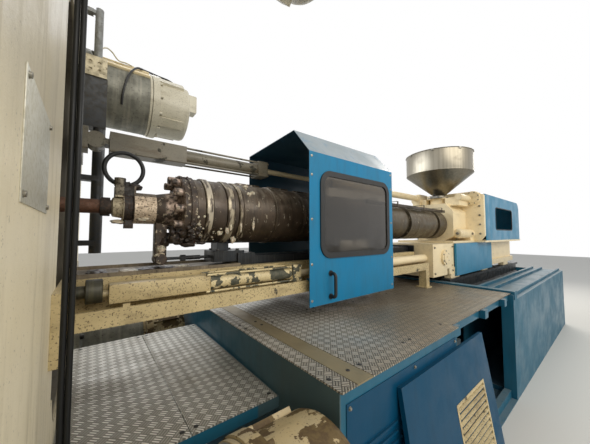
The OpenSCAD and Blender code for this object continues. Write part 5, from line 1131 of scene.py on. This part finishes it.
# Locating ring on the mould face of the fixed platen
locatingRing = {"form": [(-0.003, 0.1255), (0.005, 0.1255), (0.006, 0.1265), (0.006, 0.158), (0.005, 0.159),
                         (-0.001, 0.159)], "face": -0.006, "screwR": 0.143, "screws": 6, "head": 0.014,
                "headHigh": 0.006}
mesh = bmesh.new()
addTurned(mesh, (0, 0, axisZ), toMould, locatingRing["form"], 72, hollow=True)
addScrewCircle(mesh, (locatingRing["face"], 0, axisZ), toMould, locatingRing["screwR"],
               locatingRing["screws"], locatingRing["head"], locatingRing["headHigh"])
addPiece("locatingRing", mesh, "machine_frame", "groundWays")

# Wiper rings where the tie bars leave the moving platen, lock rings at their ends, and the platen's screws
ringSets = {
    "wiper": {"x": -2.4, "way": toHopper, "face": -2.384, "screws": 8, "screwR": 0.186, "head": 0.014,
              "form": [(-0.002, 0.1625), (0.014, 0.1625), (0.016, 0.166), (0.016, 0.2), (0.014, 0.204),
                       (-0.001, 0.204)]},
    "lock": {"x": -4.8405, "way": toMould, "face": -4.8585, "screws": 8, "screwR": 0.19, "head": 0.018,
             "form": [(-0.001, 0.1605), (0, 0.21), (0.004, 0.212), (0.016, 0.212), (0.018, 0.21),
                      (0.018, 0.1605)]}}
platenScrews = {"nutX": -3.4904, "nutY": (-0.27, -0.09, 0.09, 0.27), "nutZ": (-0.25, 0.25),
                "middleX": -3.2, "middleY": (-0.55, -0.42, 0.42, 0.55), "middleZ": (1.84, 2.06),
                "head": 0.036}
rings = {name: bmesh.new() for name in ringSets}
screws = bmesh.new()
for y, z in tieAxes:
    for name, ring in ringSets.items():
        addTurned(rings[name], (ring["x"], y, z), ring["way"], ring["form"], 64, hollow=True)
        addScrewCircle(rings[name], (ring["face"], y, z), ring["way"], ring["screwR"], ring["screws"],
                       ring["head"])
    for dy in platenScrews["nutY"]:
        for dz in platenScrews["nutZ"]:
            addSocketScrew(screws, (platenScrews["nutX"], y + dy, z + dz), toMould, platenScrews["head"])
for y in platenScrews["middleY"]:
    for z in platenScrews["middleZ"]:
        addSocketScrew(screws, (platenScrews["middleX"], y, z), toMould, platenScrews["head"])
addPiece("wiperRings", rings["wiper"], "moving_platen", "bronze")
addPiece("lockRings", rings["lock"], "machine_frame", "groundWays")
addPiece("platenScrews", screws, "moving_platen", "blackScrew")

# Pipes of the ejector cylinder, up the moving platen's back to their clips
ejectorPipes = {"r": 0.016, "clipY": 0.78, "clipX": (-3.1895, -3.1495), "clipZ": (2.60, 2.76),
                "clipHalf": (0.03, 0.012),
                "route": [(-3.45, 0.10, 2.02), (-3.44, 0.16, 2.10), (-3.36, 0.30, 2.24), (-3.25, 0.62, 2.36),
                          (-3.185, 0.75, 2.44), (-3.165, 0.78, 2.56), (-3.165, 0.78, 2.80)]}
halfWide, halfHigh = ejectorPipes["clipHalf"]
mesh = bmesh.new()
for s in (-1, 1):
    addTube(mesh, smoothLine([(x, s * y, z) for x, y, z in ejectorPipes["route"]]), ejectorPipes["r"])
    for z in ejectorPipes["clipZ"]:
        addBlock(mesh, (ejectorPipes["clipX"][0], s * ejectorPipes["clipY"] - halfWide, z - halfHigh),
                 (ejectorPipes["clipX"][1], s * ejectorPipes["clipY"] + halfWide, z + halfHigh), 0.003)
addPiece("ejectorPipes", mesh, "moving_platen", "darkSteel")

# Stop switch in its box on the fence
stopSwitch = {"low": (0.29, -1.655, 2.27), "high": (0.37, -1.5995, 2.39), "place": (0.33, -1.6545, 2.33),
              "form": [(0, 0.016), (0.014, 0.016), (0.016, 0.024), (0.028, 0.026), (0.036, 0.02), (0.038, 0)]}
box, button = bmesh.new(), bmesh.new()
addBlock(box, stopSwitch["low"], stopSwitch["high"], 0.006)
addTurned(button, stopSwitch["place"], toOperator, stopSwitch["form"], 32)
addPiece("stopSwitchBox", box, "machine_frame", "creamClean")
addPiece("stopSwitch", button, "machine_frame", "redEnamel", 60)

# Fence: foot plates with their bolts, grips and screws of both doors, and the seal round the pane
fenceFit = {"footX": (-5.079, -3.815, -2.59, -0.06), "footY": 1.87, "footHalf": 0.07, "footHigh": 0.008,
            "boltOff": (-0.05, 0.05), "bolt": 0.014, "gripX": -0.18, "gripY": 1.9455, "gripZ": (1.13, 1.37),
            "grip": [(0, 0.013), (0, 0.026), (0.006, 0.026), (0.008, 0.022), (0.008, 0.013)],
            "screwX": (-2.49, -1.29, -0.09), "screwY": 1.946, "screwZ": (0.26, 2.40), "screw": 0.016,
            "paneX": -1.29, "paneZ": 1.6, "pane": (1.8, 1.0, 0.09), "seal": 0.010}
half = fenceFit["footHalf"]
mesh = bmesh.new()
for s in (-1, 1):
    y = s * fenceFit["footY"]
    for x in fenceFit["footX"]:
        addBlock(mesh, (x - half, y - half, 0.0), (x + half, y + half, fenceFit["footHigh"]))
        for dx in fenceFit["boltOff"]:
            for dy in fenceFit["boltOff"]:
                addHexScrew(mesh, (x + dx, y + dy, fenceFit["footHigh"]), up, fenceFit["bolt"])
addPiece("fenceFeet", mesh, "machine_frame", "zincScrew")
for s, body, name in ((-1, "operator_door", "operatorDoorFittings"), (1, "rear_door", "rearDoorFittings")):
    mesh = bmesh.new()
    for z in fenceFit["gripZ"]:
        addTurned(mesh, (fenceFit["gripX"], s * fenceFit["gripY"], z), (0, s, 0), fenceFit["grip"],
                  hollow=True)
    for x in fenceFit["screwX"]:
        for z in fenceFit["screwZ"]:
            addHexScrew(mesh, (x, s * fenceFit["screwY"], z), (0, s, 0), fenceFit["screw"])
    addPiece(name, mesh, body, "zincScrew")
mesh = bmesh.new()
addTube(mesh, roundedLoop(fenceFit["paneX"], -fenceFit["screwY"], fenceFit["paneZ"], *fenceFit["pane"]),
        fenceFit["seal"], 12, ring=True)
addPiece("doorPaneTrim", mesh, "operator_door", "rubber", 60)
print("clamp side dressed")

# Floor, light and world
floorLook = {"size": 60.0, "place": (1.7, 0, -0.001), "colour": "#dad8d2", "worn": "#cfccc4",
             "strength": 0.05}
mesh = bmesh.new()
bmesh.ops.create_grid(mesh, x_segments=8, y_segments=8, size=floorLook["size"] / 2)
floorData = bpy.data.meshes.new("studioFloor")
mesh.to_mesh(floorData)
mesh.free()
floor = bpy.data.objects.new("studioFloor", floorData)
floor.location = floorLook["place"]
bpy.context.collection.objects.link(floor)
tree = startFinish("plainFloorPaint", Roughness=0.8)
worn = (patches(tree, 2500, 0.3, 0.7), floorLook["strength"], floorLook["worn"])
tree.links.new(layered(tree, floorLook["colour"], [worn]), tree.nodes["shader"].inputs["Base Color"])
floorData.materials.append(bpy.data.materials["plainFloorPaint"])

lamps = {
    "skyLamp": {"place": (-1.0, 5.5, 8.5), "aim": (2.5, 0.0, 1.5), "size": (9.0, 4.0), "power": 620,
                "colour": "#f4f8ff"},
    "frontLamp": {"place": (2.5, -8.0, 6.0), "aim": (2.5, 0.0, 1.4), "size": (10.0, 4.0), "power": 520,
                  "colour": "#fff9ee"},
    "endLamp": {"place": (12.0, 1.0, 6.0), "aim": (4.0, 0.0, 1.5), "size": (4.0, 4.0), "power": 260,
                "colour": "#fffaf2"}}
for name, lamp in lamps.items():
    data = bpy.data.lights.new(name, "AREA")
    data.shape = "RECTANGLE"
    data.size, data.size_y = lamp["size"]
    data.energy = lamp["power"]
    data.color = toLinear(lamp["colour"])[:3]
    light = bpy.data.objects.new(name, data)
    light.location = lamp["place"]
    light.rotation_euler = (Vector(lamp["aim"]) - Vector(lamp["place"])).to_track_quat("-Z", "Y").to_euler()
    bpy.context.collection.objects.link(light)

# What is seen directly, mirrored or through a pane is white; the rest is lit by a softer, bluish surrounding
worldLook = {"ambient": "#eef2f6", "ambientStrength": 0.55, "seen": "#ffffff", "seenStrength": 1.0}
world = bpy.data.worlds.new("studioWorld")
world.use_nodes = True
bpy.context.scene.world = world
tree = world.node_tree
tree.nodes.clear()
ray = addNode(tree, "ShaderNodeLightPath").outputs
mirrored = addNode(tree, "ShaderNodeMath", {0: ray["Is Glossy Ray"], 1: ray["Is Transmission Ray"]},
                   operation="MAXIMUM")
seen = addNode(tree, "ShaderNodeMath", {0: ray["Is Camera Ray"], 1: mirrored}, operation="MAXIMUM")
ambient = addNode(tree, "ShaderNodeBackground", {
    "Color": worldLook["ambient"], "Strength": worldLook["ambientStrength"]})
white = addNode(tree, "ShaderNodeBackground", {
    "Color": worldLook["seen"], "Strength": worldLook["seenStrength"]})
both = addNode(tree, "ShaderNodeMixShader", {0: seen, 1: ambient, 2: white})
addNode(tree, "ShaderNodeOutputWorld", {"Surface": both})
bpy.context.scene.view_settings.view_transform = "Standard"
print("light and floor ready")
